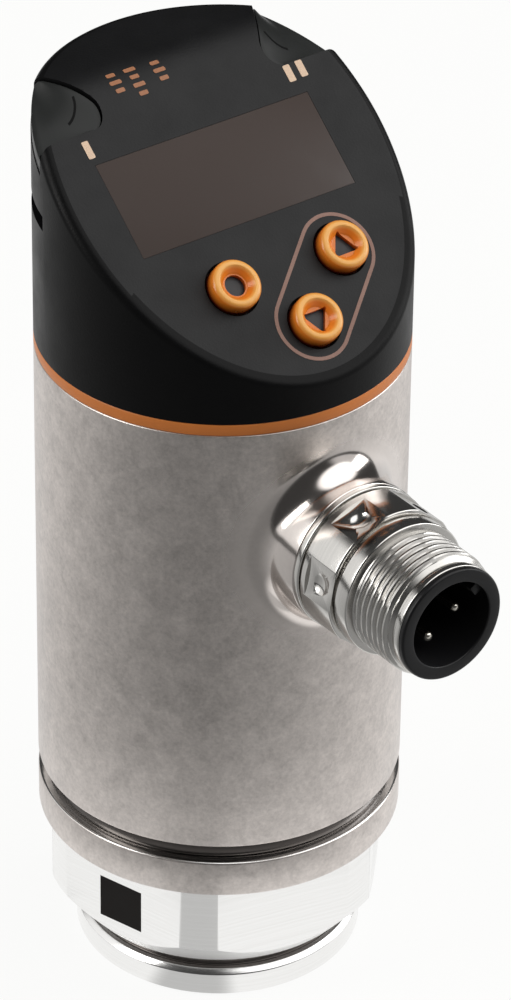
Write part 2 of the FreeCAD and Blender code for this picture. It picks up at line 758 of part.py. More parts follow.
def keypad_seal():
    """Rubber mat on the switches, with a close hole for each stem."""
    half = SWITCH_W / 2 + SEAL_MAT_MARGIN
    width = 2 * (KEY_X + half)
    height = KEY_S_HIGH - KEY_S_LOW + 2 * half
    middle = (KEY_S_HIGH + KEY_S_LOW) / 2
    mat = face_block(width, height, KEY_SHIFT, middle, switch_top, mat_top)
    mat = mat.common(rod(skirt_bore_r, 0, cap_top_z))
    holes = [face_rod(STEM_R + KEY_CLEAR, x, s, switch_top, mat_top) for x, s in key_places().values()]
    return mat.cut(holes)


# Boards

def display_board():
    """Sloped board under the face."""
    end = status_led_s() + BOARD_END
    middle = (BOARD_S_LOW + end) / 2
    low = -DISPLAY_BOARD_DEPTH - BOARD_T
    slab = face_block(2 * BODY_R, end - BOARD_S_LOW, 0, middle, low, -DISPLAY_BOARD_DEPTH)
    edge = Part.makeCylinder(cap_bore_r - BOARD_MARGIN, cap_top_z, Vector(0, BOARD_MARGIN, 0))
    return slab.common(edge)


def display_module():
    """Lamp segments' block between the board and the window."""
    width = DISPLAY_W - 2 * MODULE_MARGIN
    height = DISPLAY_H - 2 * MODULE_MARGIN
    return face_block(width, height, DISPLAY_X, DISPLAY_S, -DISPLAY_BOARD_DEPTH, -WINDOW_T - MODULE_GAP)


def status_leds():
    lamps = [face_block(LED_W, LED_W, side * guide_x, status_led_s(), -DISPLAY_BOARD_DEPTH, LED_TOP_H)
             for side in (-1, 1)]
    return Part.makeCompound(lamps)


def board_under_z(y):
    """Height of the display board's lower side at Y."""
    h = -DISPLAY_BOARD_DEPTH - BOARD_T
    s = (y + BODY_R + h * math.sin(tilt)) / math.cos(tilt)
    return on_face(0, s, h).z


def main_board_z():
    return ledge_z + CARRIER_DISC_H + MAIN_BOARD_LIFT


def main_board_top():
    return cap_z - CAP_SKIRT_H + MAIN_BOARD_RISE


def main_board():
    """Upright board with a tongue that reaches up to the display board."""
    half = housing_bore_r - RAIL_INNER + RAIL_SLOT - SEAT_CLEAR
    low = main_board_z()
    back = MAIN_BOARD_Y + BOARD_T
    board = block(-half, half, MAIN_BOARD_Y, back, low, main_board_top())
    tongue = block(-TONGUE_W / 2, TONGUE_W / 2, MAIN_BOARD_Y, back,
                   low, board_under_z(MAIN_BOARD_Y) - TONGUE_GAP)
    return board.fuse(tongue).removeSplitter()


def board_chips():
    """Processor, driver, capacitors and inductor, as a pattern on both sides of the board."""
    low = main_board_z()
    tall = main_board_top() - low
    half = housing_bore_r - RAIL_INNER
    front = MAIN_BOARD_Y
    back = MAIN_BOARD_Y + BOARD_T
    pattern = [(0.58, 0.20, 0.50, 0.22, -1.5), (-0.62, 0.65, 0.38, 0.18, -1.8), (0.60, 0.45, 0.34, 0.20, -2.0),
               (-0.57, 0.30, 0.27, 0.08, -1.1), (0.64, 0.78, 0.27, 0.10, -1.3),
               (0.00, 0.30, 0.67, 0.29, 2.7), (-0.55, 0.71, 0.34, 0.15, 3.5), (0.54, 0.69, 0.42, 0.12, 1.8),
               (0.62, 0.31, 0.22, 0.13, 1.5), (-0.64, 0.35, 0.20, 0.12, 1.3)]
    chips = []
    for across, up, wide, high, thick in pattern:
        depth = thick * CHIP_T
        y_low, y_high = (front + depth, front) if depth < 0 else (back, back + depth)
        x, z = across * half, low + up * tall
        chips.append(block(x - wide * half / 2, x + wide * half / 2, y_low, y_high,
                           z - high * tall / 2, z + high * tall / 2))
    return Part.makeCompound(chips)


def board_connector():
    """Angled header that joins the tongue to the display board."""
    top = board_under_z(MAIN_BOARD_Y)
    low = board_under_z(MAIN_BOARD_Y - HEADER_T) - HEADER_H
    header = block(-HEADER_W / 2, HEADER_W / 2, MAIN_BOARD_Y - HEADER_T, MAIN_BOARD_Y, low, top)
    plane = on_face(0, 0, -DISPLAY_BOARD_DEPTH - BOARD_T)
    return header.common(under_plane(plane, face_normal))


def board_carrier():
    """Plastic disc on the housing's ledge with two slotted rails for the main board."""
    outer_r = housing_bore_r - SEAT_CLEAR
    disc = tube(outer_r, CARRIER_HOLE_R, ledge_z, ledge_z + CARRIER_DISC_H)
    rail_x = housing_bore_r - RAIL_INNER
    middle = MAIN_BOARD_Y + BOARD_T / 2
    top = cap_z - CAP_SKIRT_H - RAIL_TOP_GAP
    rail = block(rail_x, BODY_R, middle - RAIL_W / 2, middle + RAIL_W / 2, ledge_z, top)
    rail = rail.common(rod(outer_r, ledge_z, top))
    slot = block(0, rail_x + RAIL_SLOT, MAIN_BOARD_Y - SEAT_CLEAR,
                 MAIN_BOARD_Y + BOARD_T + SEAT_CLEAR, main_board_z(), top)
    rail = rail.cut(slot)
    return disc.fuse([rail, mirrored(rail)]).removeSplitter()


def signal_lead():
    """Short lead: a plug on the axis, up through the carrier and over to the main board."""
    low = cell_board_z + CELL_BOARD_T + SOCKET_FLOOR + 2 * RUN_CLEAR
    plug_top = cell_board_z + CELL_BOARD_T + SOCKET_H + PLUG_HEAD
    turn_z = main_board_z() + LEAD_BEND
    bend_y = LEAD_BEND
    edges = [
        Part.makeLine(Vector(0, 0, plug_top), Vector(0, 0, turn_z)),
    ]
    reach = MAIN_BOARD_Y
    arc_mid = Vector(0, bend_y - bend_y * math.cos(math.pi / 4), turn_z + bend_y * math.sin(math.pi / 4))
    arc_end = Vector(0, bend_y, turn_z + bend_y)
    edges.append(Part.Arc(Vector(0, 0, turn_z), arc_mid, arc_end).toShape())
    edges.append(Part.makeLine(arc_end, Vector(0, reach, turn_z + bend_y)))
    path = Part.Wire(edges)
    circle = Part.Wire(Part.makeCircle(LEAD_R, Vector(0, 0, plug_top), Z_AXIS))
    lead = path.makePipeShell([circle], True, False)
    return rod(PLUG_R, low, plug_top).fuse(lead).removeSplitter()


# Plug connector

def m12_body():
    """Turned connector body with a nut section, collar, thread seat and front lip."""
    groove_r = NUT_R - LINE_DEPTH
    profile = [
        (CONNECTOR_BORE_R, boss_l - SHANK_L),
        (SHANK_R, boss_l - SHANK_L),
        (SHANK_R, boss_l),
        (BOSS_R, boss_l),
        (BOSS_R, boss_l + FLANGE_RING_L),
        (groove_r, boss_l + FLANGE_RING_L),
        (groove_r, nut_l),
        (NUT_R, nut_l),
        (NUT_R, nut_l + NUT_L),
        (COLLAR_RING_R - LINE_DEPTH, nut_l + NUT_L),
        (COLLAR_RING_R - LINE_DEPTH, collar_ring_l),
        (COLLAR_RING_R, collar_ring_l),
        (COLLAR_RING_R, thread_l - LINE_W),
        (COLLAR_RING_R - LINE_W, thread_l),
        (THREAD_R, thread_l),
        (THREAD_R, undercut_l),
        (UNDERCUT_R, undercut_l),
        (UNDERCUT_R, lip_l),
        (LIP_R, lip_l),
        (LIP_R, insert_lip_l),
        (CONNECTOR_BORE_R, insert_lip_l),
    ]
    body = turned(profile)
    groove_mid = SHANK_R + CONNECTOR_SEAL_R
    cuts = [seal(groove_mid, CONNECTOR_SEAL_R, boss_l)]
    start = nut_l + NUT_FLAT_START
    end = nut_l + NUT_L
    for i in range(6):
        angle = 90 + NUT_TURN_DEG + 60 * i
        flat = block(NUT_FLAT, NUT_R + 1, -NUT_R, NUT_R, start, end)
        ball_r = (DIMPLE_R ** 2 + DIMPLE_DEPTH ** 2) / (2 * DIMPLE_DEPTH)
        center = Vector(NUT_FLAT + ball_r - DIMPLE_DEPTH, 0, (start + end) / 2)
        dimple = Part.makeSphere(ball_r, center)
        for cutter in (flat, dimple):
            cutter.rotate(ORIGIN, Z_AXIS, angle)
            cuts.append(cutter)
    return along_connector(body.cut(cuts).removeSplitter())


def m12_seal():
    """Seal between the boss's face and the connector's flange ring."""
    ring = seal(SHANK_R + CONNECTOR_SEAL_R, CONNECTOR_SEAL_R, boss_l)
    return along_connector(ring.common(rod(BOSS_R, boss_l, boss_l + 1)))


def pin_axes():
    """Directions of the contact pins, set off from the code key by half a step."""
    step = 360.0 / PIN_COUNT
    angles = [math.radians(CODE_KEY_DEG + step / 2 + i * step) for i in range(PIN_COUNT)]
    return [(PIN_CIRCLE_R * math.cos(a), PIN_CIRCLE_R * math.sin(a)) for a in angles]


def pin_rods(radius, l_low, l_high):
    return [Part.makeCylinder(radius, l_high - l_low, Vector(x, y, l_low)) for x, y in pin_axes()]


def m12_insert():
    """Dark insert with the plug's cavity, its code key and a lip over the metal's end."""
    body = turned([
        (0, insert_back_l),
        (CONNECTOR_BORE_R, insert_back_l),
        (CONNECTOR_BORE_R, insert_lip_l),
        (INSERT_LIP_R, insert_lip_l),
        (INSERT_LIP_R, front_l - INSERT_LIP_EDGE),
        (INSERT_LIP_R - INSERT_LIP_EDGE, front_l),
        (0, front_l),
    ])
    cavity = rod(CAVITY_R, front_l - CAVITY_L, front_l)
    key = block(CAVITY_R - CODE_KEY_H, CAVITY_R + 0.3, -CODE_KEY_W / 2, CODE_KEY_W / 2,
                front_l - CAVITY_L, front_l - CODE_KEY_SETBACK)
    key.rotate(ORIGIN, Z_AXIS, CODE_KEY_DEG)
    body = body.cut([cavity] + pin_rods(PIN_R, insert_back_l, front_l)).fuse(key)
    return along_connector(body.removeSplitter())


def contact_pins():
    pins = []
    tip_l = front_l - PIN_SETBACK
    for x, y in pin_axes():
        low = pin_board_l - PIN_TAIL
        pin = Part.makeCylinder(PIN_R, tip_l - PIN_R - low, Vector(x, y, low))
        tip = Part.makeSphere(PIN_R, Vector(x, y, tip_l - PIN_R))
        pins.append(along_connector(pin.fuse(tip).removeSplitter()))
    return Part.makeCompound(pins)


def pin_board():
    """Small round board soldered to the pins."""
    disc = rod(PIN_BOARD_R, pin_board_l, insert_back_l)
    return along_connector(disc.cut(pin_rods(PIN_R, pin_board_l, insert_back_l)))


def lead_strip():
    """Flexible strip from the pin board to the main board's front."""
    bend_y = MAIN_BOARD_Y - STRIP_T / 2 - STRIP_BEND
    bend_z = connector_z + STRIP_BEND
    half = STRIP_T / 2
    straight = block(-STRIP_W / 2, STRIP_W / 2, -pin_board_l, bend_y, connector_z - half, connector_z + half)
    center = Vector(-STRIP_W / 2, bend_y, bend_z)
    bend = Part.makeCylinder(STRIP_BEND + half, STRIP_W, center, Vector(1, 0, 0))
    bend = bend.cut(Part.makeCylinder(STRIP_BEND - half, STRIP_W, center, Vector(1, 0, 0)))
    quarter = STRIP_BEND + STRIP_T
    bend = bend.common(block(-STRIP_W, STRIP_W, bend_y, bend_y + quarter, bend_z - quarter, bend_z))
    tail = block(-STRIP_W / 2, STRIP_W / 2, MAIN_BOARD_Y - STRIP_T, MAIN_BOARD_Y,
                 bend_z, bend_z + STRIP_TAIL)
    return straight.fuse([bend, tail]).removeSplitter()


# Assembly

def all_parts():
    lens = led_lens()
    parts = {
        "process_connection": process_connection(),
        "slide_ring": slide_ring(),
        "swivel_seal": swivel_seal(),
        "retaining_ring": retaining_ring(),
        "stop_pin": stop_pin(),
        "cell_seal": cell_seal(),
        "measuring_cell": measuring_cell(),
        "cell_clamp_ring": cell_clamp_ring(),
        "cell_board": cell_board(),
        "cell_board_chips": cell_board_chips(),
        "signal_socket": signal_socket(),
        "housing": housing(),
        "seal_ring": seal_ring(),
        "head_cap": head_cap(),
        "cap_seal": cap_seal(),
        "display_window": display_window(),
        "led_lens_right": lens,
        "led_lens_left": mirrored(lens),
        "display_module": display_module(),
        "display_board": display_board(),
        "status_leds": status_leds(),
        "key_switches": key_switches(),
        "keypad_seal": keypad_seal(),
        "main_board": main_board(),
        "board_chips": board_chips(),
        "board_connector": board_connector(),
        "board_carrier": board_carrier(),
        "signal_lead": signal_lead(),
        "connector_body": m12_body(),
        "connector_seal": m12_seal(),
        "connector_insert": m12_insert(),
        "contact_pins": contact_pins(),
        "pin_board": pin_board(),
        "lead_strip": lead_strip(),
    }
    for name, (x, s) in key_places().items():
        parts[name + "_button"] = key_cap(name, x, s)
        parts[name + "_button_core"] = key_core(x, s)
        parts[name + "_plunger"] = key_plunger(x, s)
    return parts


def main():
    os.makedirs("parts", exist_ok=True)
    for node, shape in all_parts().items():
        shape.exportStep("parts/" + node + ".step")


main()
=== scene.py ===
import math

import bmesh
import bpy
from bpy.props import FloatProperty, FloatVectorProperty, PointerProperty
from mathutils import Matrix, Vector

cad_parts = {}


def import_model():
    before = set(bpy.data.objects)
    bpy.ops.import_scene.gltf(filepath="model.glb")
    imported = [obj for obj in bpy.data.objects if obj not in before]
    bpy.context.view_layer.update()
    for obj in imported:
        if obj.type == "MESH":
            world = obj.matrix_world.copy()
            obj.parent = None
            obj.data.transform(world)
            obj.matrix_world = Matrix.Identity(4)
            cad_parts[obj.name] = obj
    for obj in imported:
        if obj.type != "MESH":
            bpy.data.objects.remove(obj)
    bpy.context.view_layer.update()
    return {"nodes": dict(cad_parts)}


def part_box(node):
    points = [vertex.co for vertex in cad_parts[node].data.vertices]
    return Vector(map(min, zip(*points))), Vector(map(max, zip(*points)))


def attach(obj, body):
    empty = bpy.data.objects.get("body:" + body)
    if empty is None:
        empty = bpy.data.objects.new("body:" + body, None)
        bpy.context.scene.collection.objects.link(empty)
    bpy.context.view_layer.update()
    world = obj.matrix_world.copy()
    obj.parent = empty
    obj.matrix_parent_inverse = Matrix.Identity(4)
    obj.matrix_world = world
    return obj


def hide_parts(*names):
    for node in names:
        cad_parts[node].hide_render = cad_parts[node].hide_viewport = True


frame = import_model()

bl_info = {
    "name": "Pressure Transmitter",
    "version": (1, 0, 0),
    "blender": (4, 5, 0),
    "location": "View3D > Sidebar > Transmitter",
    "description": "Builds the visible pieces of a compact pressure transmitter on its CAD frame",
    "category": "Object",
}

# Lengths below are millimetres in the row frame; meshes are scaled to metres when they settle.
MM = 0.001
FINE = 256               # columns round the body
ROUND = 128              # columns round the connector
ROWS_A_TURN = 12         # rows of points to one turn of a thread
SHARP_DEG = 32.0         # edges above this angle stay sharp

FACE_TILT = math.radians(39.5)
FACE_BEND = 6.0
FACE_UP = Vector((0, math.cos(FACE_TILT), math.sin(FACE_TILT)))
FACE_NORMAL = Vector((0, -math.sin(FACE_TILT), math.cos(FACE_TILT)))
FACE_FOOT = Vector((0, -17.0, 68.6))         # where the sloped face meets the front of the cap
FACE_RISE = FACE_FOOT.dot(FACE_NORMAL)
LENS_CORNER = (7.8, 4.95)                    # front inner corner of the right lens, in plan
LENS_LEAN = 0.56                             # how far its inner edge leans outwards
LENS_SLOPE = (-0.14, 0.345)
LENS_STEP = 0.14
LENS_CORNER_R = 1.5
LENS_CORNER_POINTS = 9
LENS_T = 1.4
LENS_LIP = 0.32                              # lens under the face along its inner edge
GUIDE = (12.09, 6.65, 87.2)                  # axis and reference height of the light guide
GUIDE_MARK = (12.3, 8.6)                     # centre of the arc seen in the lens
LENS_FIT = 0.16                              # gap round the lens in its pocket
CAP_EDGE = 0.95                              # rounding of the cap's rim
CAP_WALL = 1.6
ABOVE_CAP = 92.0
SLOT_LEVELS = (78.75, 80.25)
SLOT_TURNS = ((15, 50), (130, 165))          # degrees round the cap, from +X
KEYS = {"set": (-5.45, 10.8), "up": (6.35, 10.8), "down": (0.45, 5.45)}
KEY_R = 2.35
KEY_FIT = 0.15                               # gap round a key in its hole
DISPLAY = (-0.5, 20.7)
DISPLAY_HALF = (11.55, 4.7)
PRINT_ROOT = -0.02                           # prints start just under the surface they lie on
CONNECTOR_Z = 51.8
PLUG_R = 6.0                                 # outside the plug's thread
CONNECTOR_FRAME = Matrix.Translation((0, 0, CONNECTOR_Z)) @ Matrix.Rotation(math.pi / 2, 4, "X")

CAMERA_AIM = (2.496, -1.881, 46.98)
CAMERA_BACK = (-0.5050, -0.6702, 0.5438)
CAMERA_DISTANCE = 500.0
CAMERA_LENS = 196.8
CAMERA_ROLL = 0.013


# Sizes and colours a user may change

def cad_top():
    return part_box("head_cap")[1].z / MM


def length(name, text, default):
    return FloatProperty(name=name, description=text, default=default, subtype="DISTANCE", unit="LENGTH")


def tint(name, text, default):
    return FloatVectorProperty(name=name, description=text, default=default, size=3, min=0.0, max=1.0,
                               subtype="COLOR")


class TransmitterSizes(bpy.types.PropertyGroup):
    body_r: length("Body radius", "Radius of the housing, the collar and the cap", 17.0 * MM)
    total_h: length("Overall height", "From the foot's bottom to the flat top", cad_top() * MM)
    thread_pitch: length("Plug thread pitch", "Pitch of the plug connector's thread", 0.75 * MM)
    port_pitch: length("Port thread pitch", "Pitch of the process port's thread", 1.337 * MM)
    print_height: length("Print height", "How far the printed marks stand on the face", 0.03 * MM)
    print_width: length("Outline width", "Width of the printed outline round two keys", 0.34 * MM)
    key_rise: length("Key rise", "Height of the keys above the face", 1.35 * MM)


class TransmitterColours(bpy.types.PropertyGroup):
    steel: tint("Housing steel", "Blasted stainless steel of the housing", (0.70, 0.648, 0.616))
    bright: tint("Turned steel", "Polished stainless steel of the process connection", (0.93, 0.92, 0.90))
    nickel: tint("Connector metal", "Bright plated metal of the plug connector", (0.68, 0.665, 0.64))
    ring: tint("Ring", "Orange ring under the cap", (0.78, 0.24, 0.048))
    key: tint("Keys", "Orange of the keys", (0.98, 0.25, 0.022))
    cap: tint("Cap", "Black moulding of the cap", (0.0045, 0.0045, 0.0048))
    panel: tint("Face", "Dark grey of the sloped face", (0.0048, 0.0049, 0.0056))
    window: tint("Display window", "Brown grey of the unlit display", (0.060, 0.043, 0.037))
    outline: tint("Printed outline", "Thin outline round two keys", (0.30, 0.165, 0.125))


def sizes():
    return bpy.context.scene.transmitter_sizes


def body_radius():
    return sizes().body_r / MM


def colours():
    return bpy.context.scene.transmitter_colours


# Mesh making

def mesh_from(name, points, faces):
    """New object from points in millimetres, with outward normals."""
    mesh = bpy.data.meshes.new(name)
    mesh.from_pydata([tuple(p) for p in points], [], faces)
    work = bmesh.new()
    work.from_mesh(mesh)
    bmesh.ops.remove_doubles(work, verts=work.verts, dist=0.0004)
    bmesh.ops.recalc_face_normals(work, faces=work.faces)
    work.to_mesh(mesh)
    work.free()
    obj = bpy.data.objects.new(name, mesh)
    bpy.context.scene.collection.objects.link(obj)
    return obj


def apply_modifiers(obj):
    graph = bpy.context.evaluated_depsgraph_get()
    done = bpy.data.meshes.new_from_object(obj.evaluated_get(graph))
    old = obj.data
    obj.modifiers.clear()
    obj.data = done
    bpy.data.meshes.remove(old)
    return obj


def carve(obj, cutters, operation="DIFFERENCE"):
    """Boolean with one or more cutters, which are used up."""
    for cutter in cutters:
        step = obj.modifiers.new("carve", "BOOLEAN")
        step.operation = operation
        step.solver = "EXACT"
        step.object = cutter
    bpy.context.view_layer.update()
    apply_modifiers(obj)
    for cutter in cutters:
        bpy.data.objects.remove(cutter)
    return obj


def soften(obj, width, segments=2, angle=30.0):
    """Small rounding on every edge sharper than ANGLE."""
    step = obj.modifiers.new("soften", "BEVEL")
    step.width = width
    step.segments = segments
    step.limit_method = "ANGLE"
    step.angle_limit = math.radians(angle)
    step.miter_outer = "MITER_ARC"
    step.use_clamp_overlap = True
    return apply_modifiers(obj)


def settle(obj, body, finishes, replaces=()):
    """Scale to metres, shade, give the finishes and hand the piece to its body."""
    obj.data.transform(Matrix.Scale(MM, 4))
    obj.data.shade_smooth()
    obj.data.set_sharp_from_angle(angle=math.radians(SHARP_DEG))
    obj.data.materials.clear()
    for name in finishes.split():
        obj.data.materials.append(finish_of(name))
    obj.data.update()
    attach(obj, body)
    if replaces:
        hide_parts(*replaces)
    return obj


def with_fillets(corners, closed=False, steps=5):
    """Points of a profile whose corners are (r, z) or (r, z, fillet)."""
    points = []
    count = len(corners)
    for i, corner in enumerate(corners):
        here = Vector(corner[:2])
        radius = corner[2] if len(corner) > 2 else 0.0
        if radius <= 0 or (not closed and i in (0, count - 1)):
            points.append(tuple(here))
            continue
        before, after = ((Vector(corners[k % count][:2]) - here).normalized() for k in (i - 1, i + 1))
        half = before.angle(after) / 2
        reach = radius / math.tan(half)
        center = here + (before + after).normalized() * (radius / math.sin(half))
        start, end = (here + way * reach - center for way in (before, after))
        points += [tuple(center + start.slerp(end, k / steps) * radius) for k in range(steps + 1)]
    return points


def polar(radius, angle):
    return (radius * math.cos(angle), radius * math.sin(angle))


def between(a, b, t):
    return (a[0] + (b[0] - a[0]) * t, a[1] + (b[1] - a[1]) * t)


def skin(lines, wrap_lines=True, wrap_points=False):
    """Faces between lines of point numbers; a number that lines share closes them to a tip."""
    pairs = list(zip(lines, lines[1:])) + ([(lines[-1], lines[0])] if wrap_lines else [])
    faces = []
    for a, b in pairs:
        for k in range(len(a) - (not wrap_points)):
            n = (k + 1) % len(a)
            faces.append(tuple(dict.fromkeys((a[k], a[n], b[n], b[k]))))
    return [face for face in faces if len(face) > 2]


def lathe(name, profile, columns=FINE, radius_at=None, closed=False):
    """Solid turned about Z. RADIUS_AT(radius, z, angle) may change a radius round the turn."""
    points, rows = [], []
    for r, z in profile:
        first = len(points)
        if r <= 1e-6:
            points.append((0, 0, z))
            rows.append([first] * columns)
            continue
        rows.append(range(first, first + columns))
        for i in range(columns):
            a = 2 * math.pi * i / columns
            points.append((*polar(radius_at(r, z, a) if radius_at else r, a), z))
    return mesh_from(name, points, skin(rows, closed, True))


def rod(name, radius, low, high, columns=96, flare=0.0):
    """Cylinder on Z; FLARE widens its upper end, which breaks the edge of a hole cut with it."""
    profile = [(0, low), (radius, low), (radius, high)]
    if flare:
        profile = [(0, low), (radius, low), (radius, -flare), (radius + flare + high, high)]
    return lathe(name, profile + [(0, high)], columns)


def slab(name, points):
    """Solid between two outlines of equally many points, given one after the other."""
    count = len(points) // 2
    ends = [range(count), range(count, 2 * count)]
    return mesh_from(name, points, [tuple(end) for end in ends] + skin(ends, False, True))


def prism(name, outline, low, high):
    """Upright prism; LOW and HIGH are heights or functions of a point."""
    return slab(name, [(p[0], p[1], level(p) if callable(level) else level)
                       for level in (low, high) for p in outline])


def box(name, lows, highs):
    (x0, y0, z0), (x1, y1, z1) = lows, highs
    return prism(name, [(x0, y0), (x1, y0), (x1, y1), (x0, y1)], z0, z1)


def sector(name, outer, inner, low, high, start_deg, end_deg):
    turns = [math.radians(start_deg + (end_deg - start_deg) * i / 48) for i in range(49)]
    outline = [polar(outer, a) for a in turns] + [polar(inner, a) for a in reversed(turns)]
    return prism(name, outline, low, high)


def moved(obj, matrix):
    obj.data.transform(matrix)
    return obj


def mirror_x(obj, name):
    """A mirrored copy of a piece still in millimetres."""
    copy = bpy.data.objects.new(name, obj.data.copy())
    bpy.context.scene.collection.objects.link(copy)
    copy.data.transform(Matrix.Scale(-1, 4, Vector((1, 0, 0))))
    copy.data.flip_normals()
    return copy


def face_frame(x=0.0, s=0.0):
    """Matrix whose local Z leaves the sloped face and whose local Y climbs it."""
    spot = FACE_FOOT + Vector((x, 0, 0)) + FACE_UP * s
    return Matrix.Translation(spot) @ Matrix.Rotation(FACE_TILT, 4, "X")


def join(name, objs):
    """One object from several pieces that are still in millimetres."""
    work = bmesh.new()
    for obj in objs:
        work.from_mesh(obj.data)
        bpy.data.objects.remove(obj)
    mesh = bpy.data.meshes.new(name)
    work.to_mesh(mesh)
    work.free()
    joined = bpy.data.objects.new(name, mesh)
    bpy.context.scene.collection.objects.link(joined)
    return joined


# Threads

def thread_rows(low, high, pitch):
    count = int((high - low) / pitch * ROWS_A_TURN)
    return [low + (high - low) * i / count for i in range(count + 1)]


def thread_form(phase):
    """Height of a sixty degree thread with small flats, from 0 at the root to 1 at the crest."""
    ramp = 1.0 - abs(2.0 * (phase % 1.0) - 1.0)
    return min(1.0, max(0.0, (ramp - 0.14) / 0.74))


# Materials

def new_tree(name):
    material = bpy.data.materials.new(name)
    material.use_nodes = True
    tree = material.node_tree
    tree.nodes.clear()
    return material, tree


def new_finish(name):
    """New material, its node tree and the position on the piece."""
    material, tree = new_tree(name)
    return material, tree, here(tree)


def new_grained(name, scale, low, high):
    """The same with moulded grain whose roughness lies between LOW and HIGH."""
    material, tree, spot = new_finish(name)
    grain = use(tree, "moulded grain", Position=spot, Grain_Scale=scale, Rough_Low=low, Rough_High=high)
    return material, tree, spot, grain


def add(tree, kind, settings=None, **inputs):
    """New node; inputs are named with underscores for spaces and take a value or a socket."""
    made = tree.nodes.new(kind)
    for key, value in (settings or {}).items():
        setattr(made, key, value)
    for key, value in inputs.items():
        feed(tree, made.inputs[key.replace("_", " ")], value)
    return made


def feed(tree, socket, value):
    if isinstance(value, bpy.types.NodeSocket):
        tree.links.new(value, socket)
    elif socket.type == "RGBA" and len(value) == 3:
        socket.default_value = (*value, 1.0)
    else:
        socket.default_value = value


def maths(tree, operation, first, second=0.0, clamp=False):
    made = tree.nodes.new("ShaderNodeMath")
    made.operation = operation
    made.use_clamp = clamp
    feed(tree, made.inputs[0], first)
    feed(tree, made.inputs[1], second)
    return made.outputs[0]


def times(tree, first, second):
    return maths(tree, "MULTIPLY", first, second)


def ramp(tree, value, start, end, low=0.0, high=1.0, smooth=False):
    """Map START to END onto LOW to HIGH, straight or with a soft start and end."""
    kind = "SMOOTHSTEP" if smooth else "LINEAR"
    return add(tree, "ShaderNodeMapRange", {"clamp": True, "interpolation_type": kind}, Value=value,
               From_Min=start, From_Max=end, To_Min=low, To_Max=high).outputs["Result"]


def spread(tree, value, low, high):
    return ramp(tree, value, 0.0, 1.0, low, high)


def vectors(tree, operation, first, second=None):
    made = add(tree, "ShaderNodeVectorMath", {"operation": operation})
    feed(tree, made.inputs[0], first)
    if second is not None:
        feed(tree, made.inputs[1], second)
    return made.outputs["Value" if operation in {"DISTANCE", "DOT_PRODUCT", "LENGTH"} else "Vector"]


def noise(tree, spot, scale, detail, rough=0.5, **more):
    return add(tree, "ShaderNodeTexNoise", Vector=spot, Scale=scale, Detail=detail, Roughness=rough,
               **more).outputs["Fac"]


def mix_shaders(tree, factor, first, second):
    made = tree.nodes.new("ShaderNodeMixShader")
    for socket, value in zip(made.inputs, (factor, first.outputs[0], second.outputs[0])):
        tree.links.new(value, socket)
    return made


def end_tree(tree, shader, kind="ShaderNodeOutputMaterial"):
    tree.links.new(shader.outputs[0], tree.nodes.new(kind).inputs["Surface"])


def blend_colours(tree, factor, first, second):
    made = tree.nodes.new("ShaderNodeMix")
    made.data_type = "RGBA"
    feed(tree, made.inputs[0], factor)
    feed(tree, made.inputs[6], first)
    feed(tree, made.inputs[7], second)
    return made.outputs[2]


def here(tree):
    """Position on the piece in millimetres, which moves with it."""
    return vectors(tree, "MULTIPLY", tree.nodes.new("ShaderNodeTexCoord").outputs["Object"], (1 / MM,) * 3)


def group(name, inputs, outputs):
    """Empty shader node group with named sockets, and its two end nodes."""
    tree = bpy.data.node_groups.new(name, "ShaderNodeTree")
    for socket, kind, default in inputs:
        made = tree.interface.new_socket(socket, in_out="INPUT", socket_type=kind)
        if default is not None:
            made.default_value = default
    for socket, kind in outputs:
        tree.interface.new_socket(socket, in_out="OUTPUT", socket_type=kind)
    return tree, tree.nodes.new("NodeGroupInput").outputs, tree.nodes.new("NodeGroupOutput").inputs


def use(tree, name, **inputs):
    made = tree.nodes.new("ShaderNodeGroup")
    made.node_tree = bpy.data.node_groups[name]
    for key, value in inputs.items():
        feed(tree, made.inputs[key.replace("_", " ")], value)
    return made.outputs


VALUE, VECTOR = "NodeSocketFloat", "NodeSocketVector"


def group_blasted():
    """Fine blasted metal: speckle, soft blotches and tiny pits."""
    tree, source, out = group(
        "blasted metal",
        [("Position", VECTOR, None), ("Mottle Scale", VALUE, 0.35), ("Grain Scale", VALUE, 6.0),
         ("Contrast", VALUE, 1.0)],
        [("Tone", VALUE), ("Rough", VALUE), ("Height", VALUE)])
    mottle = noise(tree, source["Position"], source["Mottle Scale"], 6.0, 0.62, Distortion=0.6)
    grain = noise(tree, source["Position"], source["Grain Scale"], 4.0, 0.7)
    both = maths(tree, "ADD", times(tree, mottle, 0.52), times(tree, grain, 0.48))
    centred = times(tree, maths(tree, "SUBTRACT", both, 0.5), source["Contrast"])
    tree.links.new(maths(tree, "ADD", centred, 0.5, clamp=True), out["Tone"])
    tree.links.new(mottle, out["Rough"])
    tree.links.new(grain, out["Height"])


def group_turned():
    """Fine lines left by turning, along one position value, with slow drifts."""
    tree, source, out = group(
        "turned lines",
        [("Along", VALUE, 0.0), ("Around", VECTOR, None), ("Density", VALUE, 9.0)],
        [("Tone", VALUE), ("Height", VALUE)])
    drift = times(tree, noise(tree, source["Around"], 0.16, 2.0), 1.2)
    line = add(tree, "ShaderNodeCombineXYZ", X=times(tree, source["Along"], source["Density"]),
               Y=drift).outputs[0]
    lines = noise(tree, line, 1.0, 5.0, 0.75)
    tree.links.new(spread(tree, lines, 0.0, 1.0), out["Tone"])
    tree.links.new(lines, out["Height"])


